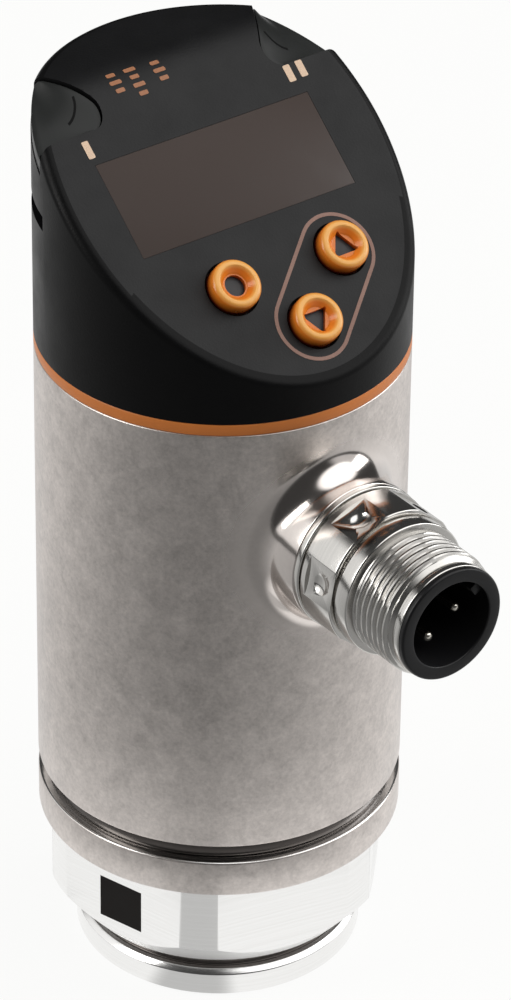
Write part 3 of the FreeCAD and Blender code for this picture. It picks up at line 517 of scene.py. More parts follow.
def group_moulded():
    """Spark-eroded mould texture: fine even grain with a little slow variation."""
    tree, source, out = group(
        "moulded grain",
        [("Position", VECTOR, None), ("Grain Scale", VALUE, 5.0), ("Rough Low", VALUE, 0.4),
         ("Rough High", VALUE, 0.55)],
        [("Rough", VALUE), ("Height", VALUE), ("Tone", VALUE)])
    spot, scale = source["Position"], source["Grain Scale"]
    grain = add(tree, "ShaderNodeTexVoronoi", {"feature": "SMOOTH_F1"}, Vector=spot, Scale=scale)
    coarse = times(tree, grain.outputs["Distance"], 0.6)
    fine = times(tree, noise(tree, spot, scale, 3.0), 0.4)
    slow = noise(tree, spot, 0.22, 4.0, 0.6)
    tree.links.new(ramp(tree, slow, 0.3, 0.7, source["Rough Low"], source["Rough High"]), out["Rough"])
    tree.links.new(maths(tree, "ADD", coarse, fine), out["Height"])
    tree.links.new(slow, out["Tone"])


def group_handling():
    """Sparse hairline marks and faint dust, as a mask."""
    tree, source, out = group("handling marks", [("Position", VECTOR, None), ("Amount", VALUE, 0.3)],
                              [("Mask", VALUE)])
    stretched = add(tree, "ShaderNodeMapping", Vector=source["Position"], Scale=(2.6, 0.35, 0.5),
                    Rotation=(0.4, 0.9, 0.3)).outputs[0]
    cut = ramp(tree, noise(tree, stretched, 1.0, 8.0, 0.8), 0.62, 0.75)
    tree.links.new(times(tree, cut, source["Amount"]), out["Mask"])


def bump(tree, height, distance):
    """Bump whose DISTANCE is in millimetres."""
    return add(tree, "ShaderNodeBump", Height=height, Distance=distance * MM, Strength=1.0).outputs["Normal"]


def surface(tree, **inputs):
    end_tree(tree, add(tree, "ShaderNodeBsdfPrincipled", **inputs))


def shade(colour, factor):
    return tuple(min(1.0, c * factor) for c in colour)


def blasted_steel(name, colour):
    """Satin housing steel, left smoother where it was turned round the boss."""
    material, tree, spot = new_finish(name)
    blast = use(tree, "blasted metal", Position=spot, Mottle_Scale=0.42, Grain_Scale=2.4, Contrast=2.3)
    marks = use(tree, "handling marks", Position=spot, Amount=0.25)
    away = vectors(tree, "DISTANCE", vectors(tree, "MULTIPLY", spot, (1, 0, 1)), (0, 0, CONNECTOR_Z))
    depth = add(tree, "ShaderNodeSeparateXYZ", Vector=spot).outputs["Y"]
    turned = times(tree, ramp(tree, away, 11.0, 8.6, smooth=True),
                   ramp(tree, depth, -10.0, -12.0))
    base = blend_colours(tree, blast["Tone"], shade(colour, 0.72), shade(colour, 1.28))
    base = blend_colours(tree, marks["Mask"], base, shade(colour, 1.45))
    base = blend_colours(tree, times(tree, turned, 0.8), base, shade(colour, 1.05))
    rough = times(tree, spread(tree, blast["Rough"], 0.30, 0.46), spread(tree, turned, 1.0, 0.38))
    height = times(tree, blast["Height"], spread(tree, turned, 1.0, 0.0))
    surface(tree, Base_Color=base, Metallic=1.0, Roughness=rough, Normal=bump(tree, height, 0.012))
    return material


def turned_metal(name, colour, axis="Z", rough=0.14, density=9.0):
    """Bright turned metal with fine lines square to AXIS."""
    material, tree, spot = new_finish(name)
    parts = add(tree, "ShaderNodeSeparateXYZ", Vector=spot).outputs
    turned = use(tree, "turned lines", Along=parts[axis], Around=spot, Density=density)
    blast = use(tree, "blasted metal", Position=spot, Mottle_Scale=0.3, Grain_Scale=2.0, Contrast=1.2)
    base = blend_colours(tree, turned["Tone"], shade(colour, 0.84), shade(colour, 1.16))
    rougher = maths(tree, "ADD", spread(tree, turned["Tone"], rough * 0.7, rough * 1.3),
                    times(tree, blast["Rough"], 0.08))
    surface(tree, Base_Color=base, Metallic=1.0, Roughness=rougher,
            Normal=bump(tree, turned["Height"], 0.004))
    return material


def moulded(name, colour, low=0.38, high=0.52, scale=5.0, depth=0.010, warm=1.0, specular=0.5, shade_and_highlight_tiers=()):
    """Moulded plastic or rubber; the tiers paint light and shade into it, each a tint laid between two
    heights over the face.
    """
    material, tree, spot, grain = new_grained(name, scale, low, high)
    marks = use(tree, "handling marks", Position=spot, Amount=0.12)
    base = blend_colours(tree, grain["Tone"], shade(colour, 0.88), shade(colour, 1.12 * warm))
    base = blend_colours(tree, marks["Mask"], base, tuple(min(1.0, c * 1.15 + 0.006) for c in colour))
    # Painted light and shade: each tier blends in a tint by height over the face, not a colour of the
    # moulding.
    for start, end, tone in shade_and_highlight_tiers:
        rise = vectors(tree, "DOT_PRODUCT", spot, FACE_NORMAL)
        base = blend_colours(tree, ramp(tree, rise, FACE_RISE + start, FACE_RISE + end), base, tone)
    surface(tree, Base_Color=base, Roughness=grain["Rough"], Normal=bump(tree, grain["Height"], depth),
            Specular_IOR_Level=specular)
    return material


def glazed(name, colour, rough=0.09, coat=0.5, specular=0.5):
    """Smooth tinted window or lens."""
    material, tree, _, grain = new_grained(name, 1.2, rough, rough * 1.5)
    base = blend_colours(tree, grain["Tone"], shade(colour, 0.94), shade(colour, 1.06))
    surface(tree, Base_Color=base, Roughness=grain["Rough"], Coat_Weight=coat, Coat_Roughness=0.05,
            Specular_IOR_Level=specular, Normal=bump(tree, grain["Height"], 0.001))
    return material


def printed(name, colour):
    """Thin ink with slightly uneven cover."""
    material, tree, _, grain = new_grained(name, 9.0, 0.45, 0.6)
    base = blend_colours(tree, grain["Height"], shade(colour, 0.8), shade(colour, 1.2))
    surface(tree, Base_Color=base, Roughness=grain["Rough"], Normal=bump(tree, grain["Height"], 0.004))
    return material


def circuit_board(name):
    """Solder mask over faint copper tracks."""
    material, tree, spot, grain = new_grained(name, 3.0, 0.25, 0.4)
    track = add(tree, "ShaderNodeTexBrick", {"offset": 0.37}, Vector=spot, Scale=0.7, Mortar_Size=0.035,
                Color1=(0.0, 0.0, 0.0), Color2=(0.25, 0.25, 0.25), Mortar=(1.0, 1.0, 1.0)).outputs["Fac"]
    base = blend_colours(tree, track, (0.012, 0.085, 0.035), (0.03, 0.17, 0.07))
    surface(tree, Base_Color=base, Roughness=grain["Rough"], Coat_Weight=0.4,
            Normal=bump(tree, track, 0.02))
    return material


def all_materials():
    c = colours()
    return {
        "housing": blasted_steel("housing_steel", c.steel),
        "bright": turned_metal("turned_steel", c.bright),
        "chamfer": turned_metal("chamfer_steel", c.bright, rough=0.5),
        # Near-black steel of the slide ring is painted shade for the ring lying in shadow in its groove; the
        # neck and the foot of the collar take it too, as painted shade.
        "slide": turned_metal("painted_shade_ring_steel", (0.105, 0.094, 0.088), rough=0.2, density=5.0),
        "spring": turned_metal("spring_steel", (0.42, 0.42, 0.43), rough=0.25),
        "brass": turned_metal("turned_brass", (0.78, 0.56, 0.25), rough=0.24),
        "nickel": turned_metal("connector_nickel", c.nickel, axis="Y", rough=0.10, density=7.0),
        "gold": turned_metal("contact_plating", (0.86, 0.82, 0.74), axis="Y", rough=0.14),
        "mark": moulded("etched_mark", (0.008, 0.006, 0.005), 0.5, 0.6, specular=0.12),
        "lens_edge": moulded("lens_edge_dark", (0.004, 0.004, 0.004), 0.4, 0.5, specular=0.1),
        "ring": moulded("ring_orange", c.ring, 0.36, 0.48, scale=6.0, depth=0.004),
        # Key orange with painted light: dark red-brown towards the face as painted shade at the foot of the
        # walls, and a pale painted highlight along the crest.
        "key": moulded("key_orange", c.key, 0.20, 0.30, scale=7.0, depth=0.004, warm=1.06,
                       shade_and_highlight_tiers=((0.85, 0.0, (0.11, 0.012, 0.002)), (1.05, 1.35, (1.0, 0.50, 0.12)))),
        "key_core": moulded("key_core_dark", (0.022, 0.023, 0.026), 0.4, 0.55),
        "cap": moulded("cap_black", c.cap, 0.34, 0.46, scale=5.5, depth=0.012, specular=0.12),
        "panel": moulded("face_grey", c.panel, 0.42, 0.54, scale=5.0, depth=0.016, specular=0.29),
        "window": glazed("display_window_tint", c.window, rough=0.3, coat=0.0, specular=0.18),
        "lens": glazed("lens_smoke", (0.022, 0.0235, 0.023), rough=0.3, coat=0.0, specular=0.25),
        "outline": printed("outline_ink", c.outline),
        "ink": printed("orange_ink", (0.42, 0.17, 0.075)),
        "pale_ink": printed("pale_ink", (0.88, 0.62, 0.44)),
        "thread": turned_metal("thread_metal", shade(c.nickel, 0.86), axis="Y", rough=0.24, density=7.0),
        "insert": moulded("insert_black", (0.010, 0.010, 0.011), 0.3, 0.42, scale=4.0, depth=0.006,
                          specular=0.3),
        "rubber": moulded("seal_rubber", (0.012, 0.012, 0.012), 0.5, 0.65),
        "mat": moulded("mat_rubber", (0.06, 0.06, 0.065), 0.6, 0.7),
        "board": circuit_board("circuit_board_green"),
        "chips": moulded("component_black", (0.018, 0.018, 0.019), 0.45, 0.6),
        "socket": moulded("socket_ivory", (0.62, 0.58, 0.46), 0.4, 0.5),
        "carrier": moulded("carrier_grey", (0.09, 0.09, 0.095), 0.5, 0.62),
        "lead": moulded("lead_jacket", (0.05, 0.05, 0.06), 0.45, 0.55),
        "ceramic": moulded("cell_ceramic", (0.83, 0.81, 0.76), 0.35, 0.5, scale=8.0, depth=0.003),
        "strip": glazed("strip_amber", (0.50, 0.24, 0.05), rough=0.25),
        "lamp": glazed("lamp_epoxy", (0.80, 0.78, 0.68), rough=0.15),
        "module": moulded("segment_block", (0.55, 0.55, 0.53), 0.4, 0.5),
        "switch": moulded("switch_case", (0.14, 0.14, 0.145), 0.35, 0.5),
    }


def finish_of(name):
    return bpy.data.materials[MATERIALS[name]]


MATERIALS = {}


# Pieces

HEX_TURN = -132.6        # degrees from +X to one corner
HEX_FLAT = 15.0          # axis to flat
NECK_R, NECK_LOW, NECK_TOP = 12.4, 3.0, 4.5
HEX_TOP, COLLAR_TOP = 14.5, 18.2
PORT_R = 5.72            # crests of the port's thread


def process_connection():
    """Foot, neck, hexagon, collar and spigot, with the threaded port."""
    pitch, radius = sizes().port_pitch / MM, body_radius()
    rows = thread_rows(1.0, 11.0, pitch)
    outer = [(6.9, 0.0, 0.1), (13.0, 0.0, 0.25), (13.5, 0.45, 0.25), (13.5, 2.55, 0.25),
             (13.05, NECK_LOW, 0.15), (NECK_R, NECK_LOW, 0.2), (NECK_R, NECK_TOP, 0.2),
             (13.7, NECK_TOP, 0.3), (16.4, 7.7, 0.5),
             (16.4, HEX_TOP, 0.12), (radius, HEX_TOP, 0.22), (radius, COLLAR_TOP, 0.22),
             (13.6, COLLAR_TOP, 0.15), (13.6, 29.5, 0.3), (11.1, 29.5, 0.2), (11.1, 20.0, 0.1),
             (9.1, 20.0, 0.1), (9.1, 14.1, 0.05)]
    profile = with_fillets([(0, 14.1)] + outer[::-1], steps=4)[1:] + [(5.9, 0.35)]
    profile += [(PORT_R, z) for z in rows]
    profile += [(PORT_R, 11.6), (2.1, 11.9), (2.1, 13.2), (6.3, 13.2), (6.3, 14.1)]

    def cut_thread(r, z, a):
        if abs(r - PORT_R) > 1e-6 or not rows[0] <= z <= rows[-1]:
            return r
        fade = min(1.0, (z - rows[0]) / 0.8, (rows[-1] - z) / 0.8)
        return r + 0.62 * fade * thread_form(z / pitch - a / (2 * math.pi))

    body = lathe("connection_body", profile, FINE, cut_thread, closed=True)
    flats = []
    for i in range(6):
        turn = Matrix.Rotation(math.radians(HEX_TURN + 30 + 60 * i), 4, "Z")
        flats.append(moved(box("flat", (HEX_FLAT, -12, 3.6), (19, 12, 14.44)), turn))
    carve(body, flats)
    return body


def flat_mark():
    """Plain dark square on one flat of the hexagon."""
    turn = Matrix.Rotation(math.radians(HEX_TURN - 30), 4, "Z")
    plate = box("dark_square", (HEX_FLAT - 0.05, -2.65, 7.45), (HEX_FLAT + 0.012, 2.1, 11.95))
    return moved(plate, turn)


def slide_ring():
    profile = with_fillets([(13.7, 18.22), (16.2, 18.22, 0.5), (16.2, 19.93, 0.5), (13.7, 19.93)],
                           closed=True, steps=6)
    return lathe("slide_ring_in_painted_shade", profile, FINE, closed=True)


SHELL_LOW, SHELL_TOP = 19.96, 64.5
SHELL_PATCH = (40.6, 63.2)   # levels between which the wall is laid out round the boss
BOSS_R = 7.0
BOSS_FILLET = 2.7
BOSS_FACE = 20.1


def fillet_frame(phi, radius):
    """Ball centre and its two contact points for the boss fillet at angle PHI from +Z."""
    ring = BOSS_R + BOSS_FILLET
    x, z = ring * math.sin(phi), ring * math.cos(phi)
    y = -math.sqrt((radius + BOSS_FILLET) ** 2 - x * x)
    center = Vector((x, y, z + CONNECTOR_Z))
    share = radius / (radius + BOSS_FILLET)
    on_wall = Vector((x * share, y * share, z + CONNECTOR_Z))
    on_boss = Vector((BOSS_R * math.sin(phi), y, BOSS_R * math.cos(phi) + CONNECTOR_Z))
    return center, on_wall, on_boss


def housing_shell():
    """Round shell whose wall flows into the connector's boss through a true fillet."""
    radius = body_radius()
    low, top, (patch_low, patch_high) = SHELL_LOW, SHELL_TOP, SHELL_PATCH
    columns, side, half = FINE, 28, 36
    front = 3 * columns // 4
    rows = [patch_low + (patch_high - patch_low) * i / side for i in range(side + 1)]
    outer = with_fillets([(radius - 3, low), (radius, low, 0.3), (radius, patch_low)], steps=4)[1:-1]
    heights = [(r, z) for r, z in outer] + [(radius, z) for z in rows]
    heights += with_fillets([(radius, patch_high), (radius, top, 0.15), (15.5, top, 0.1),
                             (15.5, 31.0), (15.0, 31.0), (15.0, 25.2), (13.65, 25.2, 0.1),
                             (13.65, low, 0.2)], steps=3)[1:]
    first = len(outer)
    points = [(*polar(r, 2 * math.pi * i / columns), z) for r, z in heights for i in range(columns)]
    at = lambda k, i: k % len(heights) * columns + i % columns
    faces = [(at(k, i), at(k, i + 1), at(k + 1, i + 1), at(k + 1, i))
             for k in range(len(heights)) for i in range(columns)
             if not (first <= k < first + side and front - half <= i < front + half)]
    edge = [(front - half + i, patch_low) for i in range(2 * half)]
    edge += [(front + half, z) for z in rows[:-1]]
    edge += [(front + half - i, patch_high) for i in range(2 * half)]
    edge += [(front - half, z) for z in reversed(rows[1:])]
    rings, arc = 9, 14
    tip = len(points)
    points.append((0, -BOSS_FACE, CONNECTOR_Z))
    boss = with_fillets([(BOSS_R, 16.0), (BOSS_R, BOSS_FACE, 0.18), (0, BOSS_FACE)], steps=3)[1:-1]
    lines = []
    for column, z in edge:
        a = 2 * math.pi * column / columns
        u = (a - 1.5 * math.pi) * radius
        phi = math.atan2(u, z - CONNECTOR_Z)
        center, wall, on_boss = fillet_frame(phi, radius)
        wall_u = (math.atan2(wall.y, wall.x) % (2 * math.pi) - 1.5 * math.pi) * radius
        line = []
        for k in range(rings + 1):
            t = (k / rings) ** 0.8
            along, height = between((u, z), (wall_u, wall.z), t)
            line.append((*polar(radius, 1.5 * math.pi + along / radius), height))
        start, end = wall - center, on_boss - center
        line += [center + start.slerp(end, k / arc) * BOSS_FILLET for k in range(1, arc + 1)]
        line += [(r * math.sin(phi), -reach, r * math.cos(phi) + CONNECTOR_Z) for r, reach in boss]
        lines.append([*range(len(points), len(points) + len(line)), tip])
        points += line
    shell = mesh_from("housing_shell", points, faces + skin(lines))
    return carve(shell, [moved(rod("bore", 5.93, 9.0, 21.0), CONNECTOR_FRAME)])


def ring_piece():
    radius = body_radius()
    profile = with_fillets([(15.56, 64.52), (radius, 64.52, 0.12), (radius, 65.68, 0.12), (15.56, 65.68)],
                           closed=True, steps=3)
    return lathe("orange_ring", profile, FINE, closed=True)


def head_levels(inset):
    """Named places of the sloped face, its bend and the flat top, all set in by INSET."""
    bend = max(FACE_BEND - inset, 0.5)
    start = FACE_FOOT - FACE_NORMAL * inset
    top = sizes().total_h / MM - inset
    corner = start.y + (top - start.z) / math.tan(FACE_TILT)
    run = bend * math.tan(FACE_TILT / 2)
    return start, bend, top, corner - run * math.cos(FACE_TILT), corner + run


def head_height(y, inset):
    start, bend, top, bend_from, bend_to = head_levels(inset)
    if y <= bend_from:
        return start.z + (y - start.y) * math.tan(FACE_TILT)
    if y >= bend_to:
        return top
    return top - bend + math.sqrt(max(0.0, bend ** 2 - (y - bend_to) ** 2))


def head_normal(y, inset):
    _, bend, _, bend_from, bend_to = head_levels(inset)
    if y <= bend_from:
        return FACE_NORMAL.copy()
    if y >= bend_to:
        return Vector((0, 0, 1))
    lean = (y - bend_to) / bend
    return Vector((0, lean, math.sqrt(max(0.0, 1 - lean * lean))))


def head_form(name, radius, inset, edge, floor, rings=44, arc=6, skirt=()):
    """Round block closed above by the sloped face and flat top, its rim rounded by EDGE."""
    low = skirt[0][1] if skirt else floor
    points, lines = [(0, 0, head_height(0.0, inset)), (0, 0, low)], []
    for i in range(FINE):
        out = Vector((*polar(1.0, 2 * math.pi * i / FINE), 0))
        center = out * (radius - edge)
        center.z = head_height(center.y, inset + edge)
        up = head_normal(center.y, inset + edge)
        line = [out * r + Vector((0, 0, z)) for r, z in skirt]
        line.append(out * radius + Vector((0, 0, floor)))
        line += [center + out.slerp(up, k / arc) * edge for k in range(arc + 1)]
        inner = center + up * edge
        for k in range(1, rings):
            t = 1 - k / rings
            line.append((inner.x * t, inner.y * t, head_height(inner.y * t, inset)))
        lines.append([1, *range(len(points), len(points) + len(line)), 0])
        points += line
    return mesh_from(name, points, skin(lines))


def lens_height(depth):
    """Height of the right lens's surface, lowered by DEPTH, as a function of a point."""
    x0, y0 = LENS_CORNER
    top = FACE_FOOT.z + (y0 - FACE_FOOT.y) * math.tan(FACE_TILT) - LENS_STEP - depth
    return lambda p: top + LENS_SLOPE[0] * (p[0] - x0) + LENS_SLOPE[1] * (p[1] - y0)


def lens_outline(grow, outer):
    """Plan outline of the right lens: front edge, arc of radius OUTER, rear edge, rounded corner."""
    lean = LENS_LEAN
    front, side = Vector((1, 0)), Vector((lean, 1.0)).normalized()
    x0, y0 = LENS_CORNER[0] - grow * math.hypot(1, lean) - lean * grow, LENS_CORNER[1] - grow
    corner, radius = Vector((x0, y0)), LENS_CORNER_R + grow
    half = front.angle(side) / 2
    middle = corner + (front + side).normalized() * (radius / math.sin(half))
    first, last = (corner + edge * (radius / math.tan(half)) - middle for edge in (side, front))
    outline = [tuple(middle + first.slerp(last, k / 8) * radius) for k in range(LENS_CORNER_POINTS)]
    t = 0.0
    while math.hypot(x0 + lean * t, y0 + t) < outer:
        t += 0.001
    begin, end = math.asin(y0 / outer), math.atan2(y0 + t, x0 + lean * t)
    return outline + [polar(outer, begin + (end - begin) * k / 24) for k in range(25)]


def head_cap():
    """Cap with face, window seat, key holes, lens pockets and side slots."""
    radius = body_radius()
    skirt = [(15.45, 60.3), (15.45, 65.72)]
    cap = head_form("head_cap_moulded", radius, 0.0, CAP_EDGE, 65.72, arc=8, skirt=skirt)
    cavity = head_form("cavity", radius - CAP_WALL, CAP_WALL, 0.8, 66.7, rings=20,
                       skirt=[(14.05, 60.0), (14.05, 66.65)])
    seat = prism("seat", lens_outline(1.0, radius - 1.1), lens_height(LENS_T + 1.0), ABOVE_CAP)
    carve(cavity, [seat, mirror_x(seat, "seat_left")])
    pocket = prism("pocket", lens_outline(0.0, radius + 0.6), lens_height(LENS_T), ABOVE_CAP)
    cuts = [cavity, mirror_x(pocket, "pocket_left"), pocket]
    cuts += [moved(rod("key_hole", KEY_R + KEY_FIT, -4.0, 0.6, flare=0.1), face_frame(*place))
             for place in KEYS.values()]
    cuts.append(moved(display_block("window_seat", 0.0, -0.9, 0.5), face_frame(*DISPLAY)))
    cuts += [sector("side_slot", radius + 1, radius - 1, *SLOT_LEVELS, *turn) for turn in SLOT_TURNS]
    return carve(cap, cuts)


def display_block(name, gap, low, high):
    """Block of the display's outline, smaller by GAP all round."""
    half_w, half_h = (half - gap for half in DISPLAY_HALF)
    return box(name, (-half_w, -half_h, low), (half_w, half_h, high))


def display_window():
    window = soften(display_block("display_glass", 0.02, -0.88, -0.005), 0.03, 2)
    return moved(window, face_frame(*DISPLAY))


def head_surface(x, y):
    """Height of the cap's outside, its rounded rim included."""
    edge = CAP_EDGE
    past = math.hypot(x, y) - (body_radius() - edge)
    drop = edge - math.sqrt(edge ** 2 - min(past, edge) ** 2) if past > 0 else 0.0
    return head_height(y, 0.0) - drop


def right_lens():
    """Lens that stays just under the face along its inner edge and falls away to the rim."""
    outline = lens_outline(-LENS_FIT, body_radius() - 0.07)
    outer = outline[LENS_CORNER_POINTS:]
    inner = outer[:1] + outline[LENS_CORNER_POINTS - 1::-1]
    inner += [between(inner[-1], outer[-1], k / 14) for k in range(1, 15)]
    steps, rows = len(inner) - 1, 10
    plane, floor_height = lens_height(0.0), lens_height(LENS_T - 0.02)
    points = []
    for i, near in enumerate(inner):
        reach = i / steps * (len(outer) - 1)
        k = min(int(reach), len(outer) - 2)
        far = between(outer[k], outer[k + 1], reach - k)
        rise = max(0.0, head_surface(*near) - LENS_LIP - plane(near))
        if near[1] <= LENS_CORNER[1] + 0.11:
            rise = 0.0
        for k in range(rows + 1):
            v = k / rows
            spot = between(near, far, v)
            points.append((*spot, plane(spot) + rise * (1 - v) ** 2 * (1 + 2 * v)))
    size, width = len(points), rows + 1
    points += [(x, y, floor_height((x, y))) for x, y, _ in points]
    loops = [[*range(k, k + width), *reversed(range(size + k, size + k + width))]
             for k in range(0, size, width)]
    lens = mesh_from("indicator_lens_right", points, skin(loops, False, True))
    soften(lens, 0.10, 2, 50)
    guide = moved(rod("guide", 0.72, -5.2, -1.0, 32), Matrix.Translation(GUIDE))
    return carve(lens, [guide], "UNION")


def guide_mark(lens):
    """Dark edge of the light guide, seen in the right lens as a short arc."""
    bpy.context.view_layer.update()
    above = lambda p: lens.ray_cast(Vector((*p, ABOVE_CAP)), Vector((0, 0, -1)))[1].z
    arc = [math.radians(190 + 70 * k / 12) for k in range(13)]
    line = [Vector(GUIDE_MARK) + Vector(polar(r, a))
            for r, order in ((2.02, 1), (1.80, -1)) for a in arc[::order]]
    return prism("guide_mark_right", line, lambda p: above(p) - 0.05, lambda p: above(p) + 0.012)


def capsule_outline(x0, s0, x1, s1, radius):
    """Points of a capsule round two centres on the face."""
    axis = math.atan2(s1 - s0, x1 - x0)
    return [Vector(center) + Vector(polar(radius, start + math.pi * k / 28))
            for center, start in (((x1, s1), axis - math.pi / 2), ((x0, s0), axis + math.pi / 2))
            for k in range(29)]


def flat_print(name, outline, x=0.0, s=0.0):
    """Thin printed patch on the face."""
    return moved(prism(name, outline, PRINT_ROOT, sizes().print_height / MM), face_frame(x, s))


def outline_print():
    """Capsule line round the two arrow keys."""
    half, thick = sizes().print_width / MM / 2, sizes().print_height / MM
    (x0, s0), (x1, s1) = KEYS["down"], KEYS["up"]
    outer, inner = (capsule_outline(x0 - 0.2, s0, x1 - 0.25, s1, 3.45 + side * half) for side in (1, -1))
    levels = ((outer, PRINT_ROOT), (inner, PRINT_ROOT), (inner, thick), (outer, thick))
    points = [(*p, z) for line, z in levels for p in line]
    rings = [range(k, k + len(outer)) for k in range(0, len(points), len(outer))]
    return moved(mesh_from("key_outline_print", points, skin(rings, True, True)), face_frame())


def rounded_bar(width, height):
    radius = 0.12
    return [Vector((sx * (width / 2 - radius), sy * (height / 2 - radius)))
            + Vector(polar(radius, math.radians(start + 90 * k / 4)))
            for sx, sy, start in ((1, 1, 0), (-1, 1, 90), (-1, -1, 180), (1, -1, 270)) for k in range(5)]


def status_prints():
    """One bar by the left lens and two by the right one."""
    bars = [(-11.95, 26.9, 0.68, 1.7), (10.26, 27.52, 0.72, 1.66), (11.63, 27.6, 0.72, 1.62)]
    return join("status_marks", [flat_print("bar", rounded_bar(w, h), x, s) for x, s, w, h in bars])


def on_top(x, s, h):
    """Point H above the face at X and S, which goes on round the bend into the flat top."""
    start, bend, top, bend_from, bend_to = head_levels(0.0)
    past = s - (bend_from - start.y) / math.cos(FACE_TILT)
    if past <= 0:
        return start + Vector((x, 0, 0)) + FACE_UP * s + FACE_NORMAL * h
    lean = max(0.0, FACE_TILT - past / bend)
    flat = max(0.0, past - bend * FACE_TILT)
    reach = bend + h
    return Vector((x, bend_to + flat - reach * math.sin(lean), top - bend + reach * math.cos(lean)))


def legend_prints():
    """Three short columns of plain strokes near the top of the face, without letters."""
    levels = (PRINT_ROOT, sizes().print_height / MM)
    strokes = []
    for x, low, count in ((-6.2, 31.1, 3), (-4.2, 30.2, 4), (-1.6, 30.9, 3)):
        for i in range(count):
            shape = rounded_bar(1.2 if i % 2 else 0.9, 0.42)
            points = [on_top(x + u, low + 0.86 * i + v, h) for h in levels for u, v in shape]
            strokes.append(slab("stroke", points))
    return join("legend_marks", strokes)


def key_body(name, x, s):
    """Cup-shaped key: rounded rim, sloping inner wall and the symbol's opening."""
    rise = sizes().key_rise / MM
    hollow = with_fillets([(3.05, -2.28, 0.05), (3.05, -1.72, 0.08), (KEY_R, -1.72), (KEY_R, rise, 0.48),
                           (1.72, rise, 0.16), (1.12, rise - 0.66, 0.16), (0, rise - 0.66)], steps=6)
    key = lathe(name + "_key_orange", [(0, -2.28)] + hollow, 96)
    if name == "set":
        cut = rod("dot", 1.0, 0.15, rise + 1, 64)
    else:
        turn = 90 if name == "up" else -90
        corners = [(*polar(1.5, math.radians(turn + 120 * i)), 0.15) for i in range(3)]
        cut = prism("arrow", with_fillets(corners, closed=True, steps=5), 0.15, rise + 1)
    carve(key, [cut])
    return moved(key, face_frame(x, s))


def key_core(name, x, s):
    """Dark floor of the symbol, slightly domed."""
    profile = with_fillets([(0, 0.0), (1.85, 0.0, 0.05), (1.85, 0.22, 0.1), (0, 0.36)], steps=3)
    return moved(lathe(name + "_key_core", profile, 48), face_frame(x, s))


def connector_body():
    """Connector shell: nut section with flats and dimples, collar, thread and front lip."""
    pitch = sizes().thread_pitch / MM
    rows = thread_rows(27.1, 32.2, pitch)
    back = with_fillets([(5.0, 15.5), (5.9, 15.5, 0.1), (5.9, 20.12), (7.0, 20.12, 0.1), (7.0, 20.75, 0.14),
                         (6.5, 20.75, 0.05), (6.5, 20.93, 0.05), (6.9, 20.93, 0.16), (6.9, 25.18, 0.14),
                         (6.1, 25.18, 0.05), (6.1, 25.4, 0.05), (6.5, 25.4, 0.14), (6.5, 27.04, 0.16),
                         (PLUG_R, 27.06)], steps=4)
    front = with_fillets([(5.3, 32.2), (5.3, 32.58, 0.08), (5.52, 32.6, 0.1), (5.52, 33.22, 0.12),
                          (5.0, 33.22, 0.05), (5.0, 15.5)], steps=4)

    def cut_thread(r, z, a):
        if abs(r - PLUG_R) > 1e-6 or not rows[0] <= z <= rows[-1]:
            return r
        crest = r - 0.10 - max(0.0, z - rows[-1] + 0.55)
        fade = min(1.0, max(0.0, (z - rows[0] - 0.1) / 0.5))
        return min(crest, r - 0.44 * fade * (1 - thread_form(z / pitch - a / (2 * math.pi))))

    profile = back[:-1] + [(PLUG_R, z) for z in rows] + front[:-1]
    body = lathe("connector_shell", profile, ROUND * 2, cut_thread, closed=True)
    flat, bowl, bowl_depth = 6.62, 1.0, 0.28
    ball = bowl ** 2 / (2 * bowl_depth) + bowl_depth / 2
    half_turn = [math.pi * k / 40 for k in range(41)]
    cuts = []
    for i in range(6):
        turn = Matrix.Rotation(math.radians(110 + 60 * i), 4, "Z")
        cuts.append(moved(box("flat", (flat, -4.5, 21.62), (8, 4.5, 25.3)), turn))
        dimple = lathe("dimple", [(ball * math.sin(a), -ball * math.cos(a)) for a in half_turn], 64)
        cuts.append(moved(dimple, turn @ Matrix.Translation((flat + ball - bowl_depth, 0, 23.5))))
    carve(body, cuts)
    return moved(body, CONNECTOR_FRAME)


CAVITY_R = 4.15
FRONT = 33.8


def pin_spots():
    return [Matrix.Translation((*polar(2.5, math.radians(78 + 90 * i)), 0)) for i in range(4)]


def connector_insert():
    """Black insert: rounded front ring, deep cavity and code key."""
    floor_z = FRONT - 8.8
    profile = with_fillets([(0, 18.8), (4.97, 18.8, 0.1), (4.97, 33.26), (5.45, 33.26, 0.06),
                            (5.45, FRONT, 0.24), (CAVITY_R, FRONT, 0.16), (CAVITY_R, floor_z, 0.2),
                            (0, floor_z)], steps=5)
    body = lathe("insert_black", profile, ROUND)
    key = box("code_key", (CAVITY_R - 0.75, -0.55, floor_z - 0.4), (CAVITY_R + 0.25, 0.55, FRONT - 0.8))
    moved(key, Matrix.Rotation(math.radians(33), 4, "Z"))
    carve(body, [soften(key, 0.08, 2)], "UNION")
    carve(body, [moved(rod("pin_hole", 0.5, 18.0, 26.0, 32), place) for place in pin_spots()])
    return moved(body, CONNECTOR_FRAME)


def contact_pins():
    tip = FRONT - 2.3
    profile = with_fillets([(0, 17.4), (0.5, 17.4, 0.05), (0.5, tip, 0.42), (0, tip)], steps=6)
    pins = [moved(lathe("pin", profile, 40), place) for place in pin_spots()]
    return moved(join("contact_pins_gold", pins), CONNECTOR_FRAME)


# Operators

class TRANSMITTER_OT_finishes(bpy.types.Operator):
    """Build the shared node groups and every finish"""
    bl_idname = "transmitter.finishes"
    bl_label = "Finishes"

    def execute(self, context):
        for build in (group_blasted, group_turned, group_moulded, group_handling):
            build()
        for name, material in all_materials().items():
            MATERIALS[name] = material.name
        return {"FINISHED"}


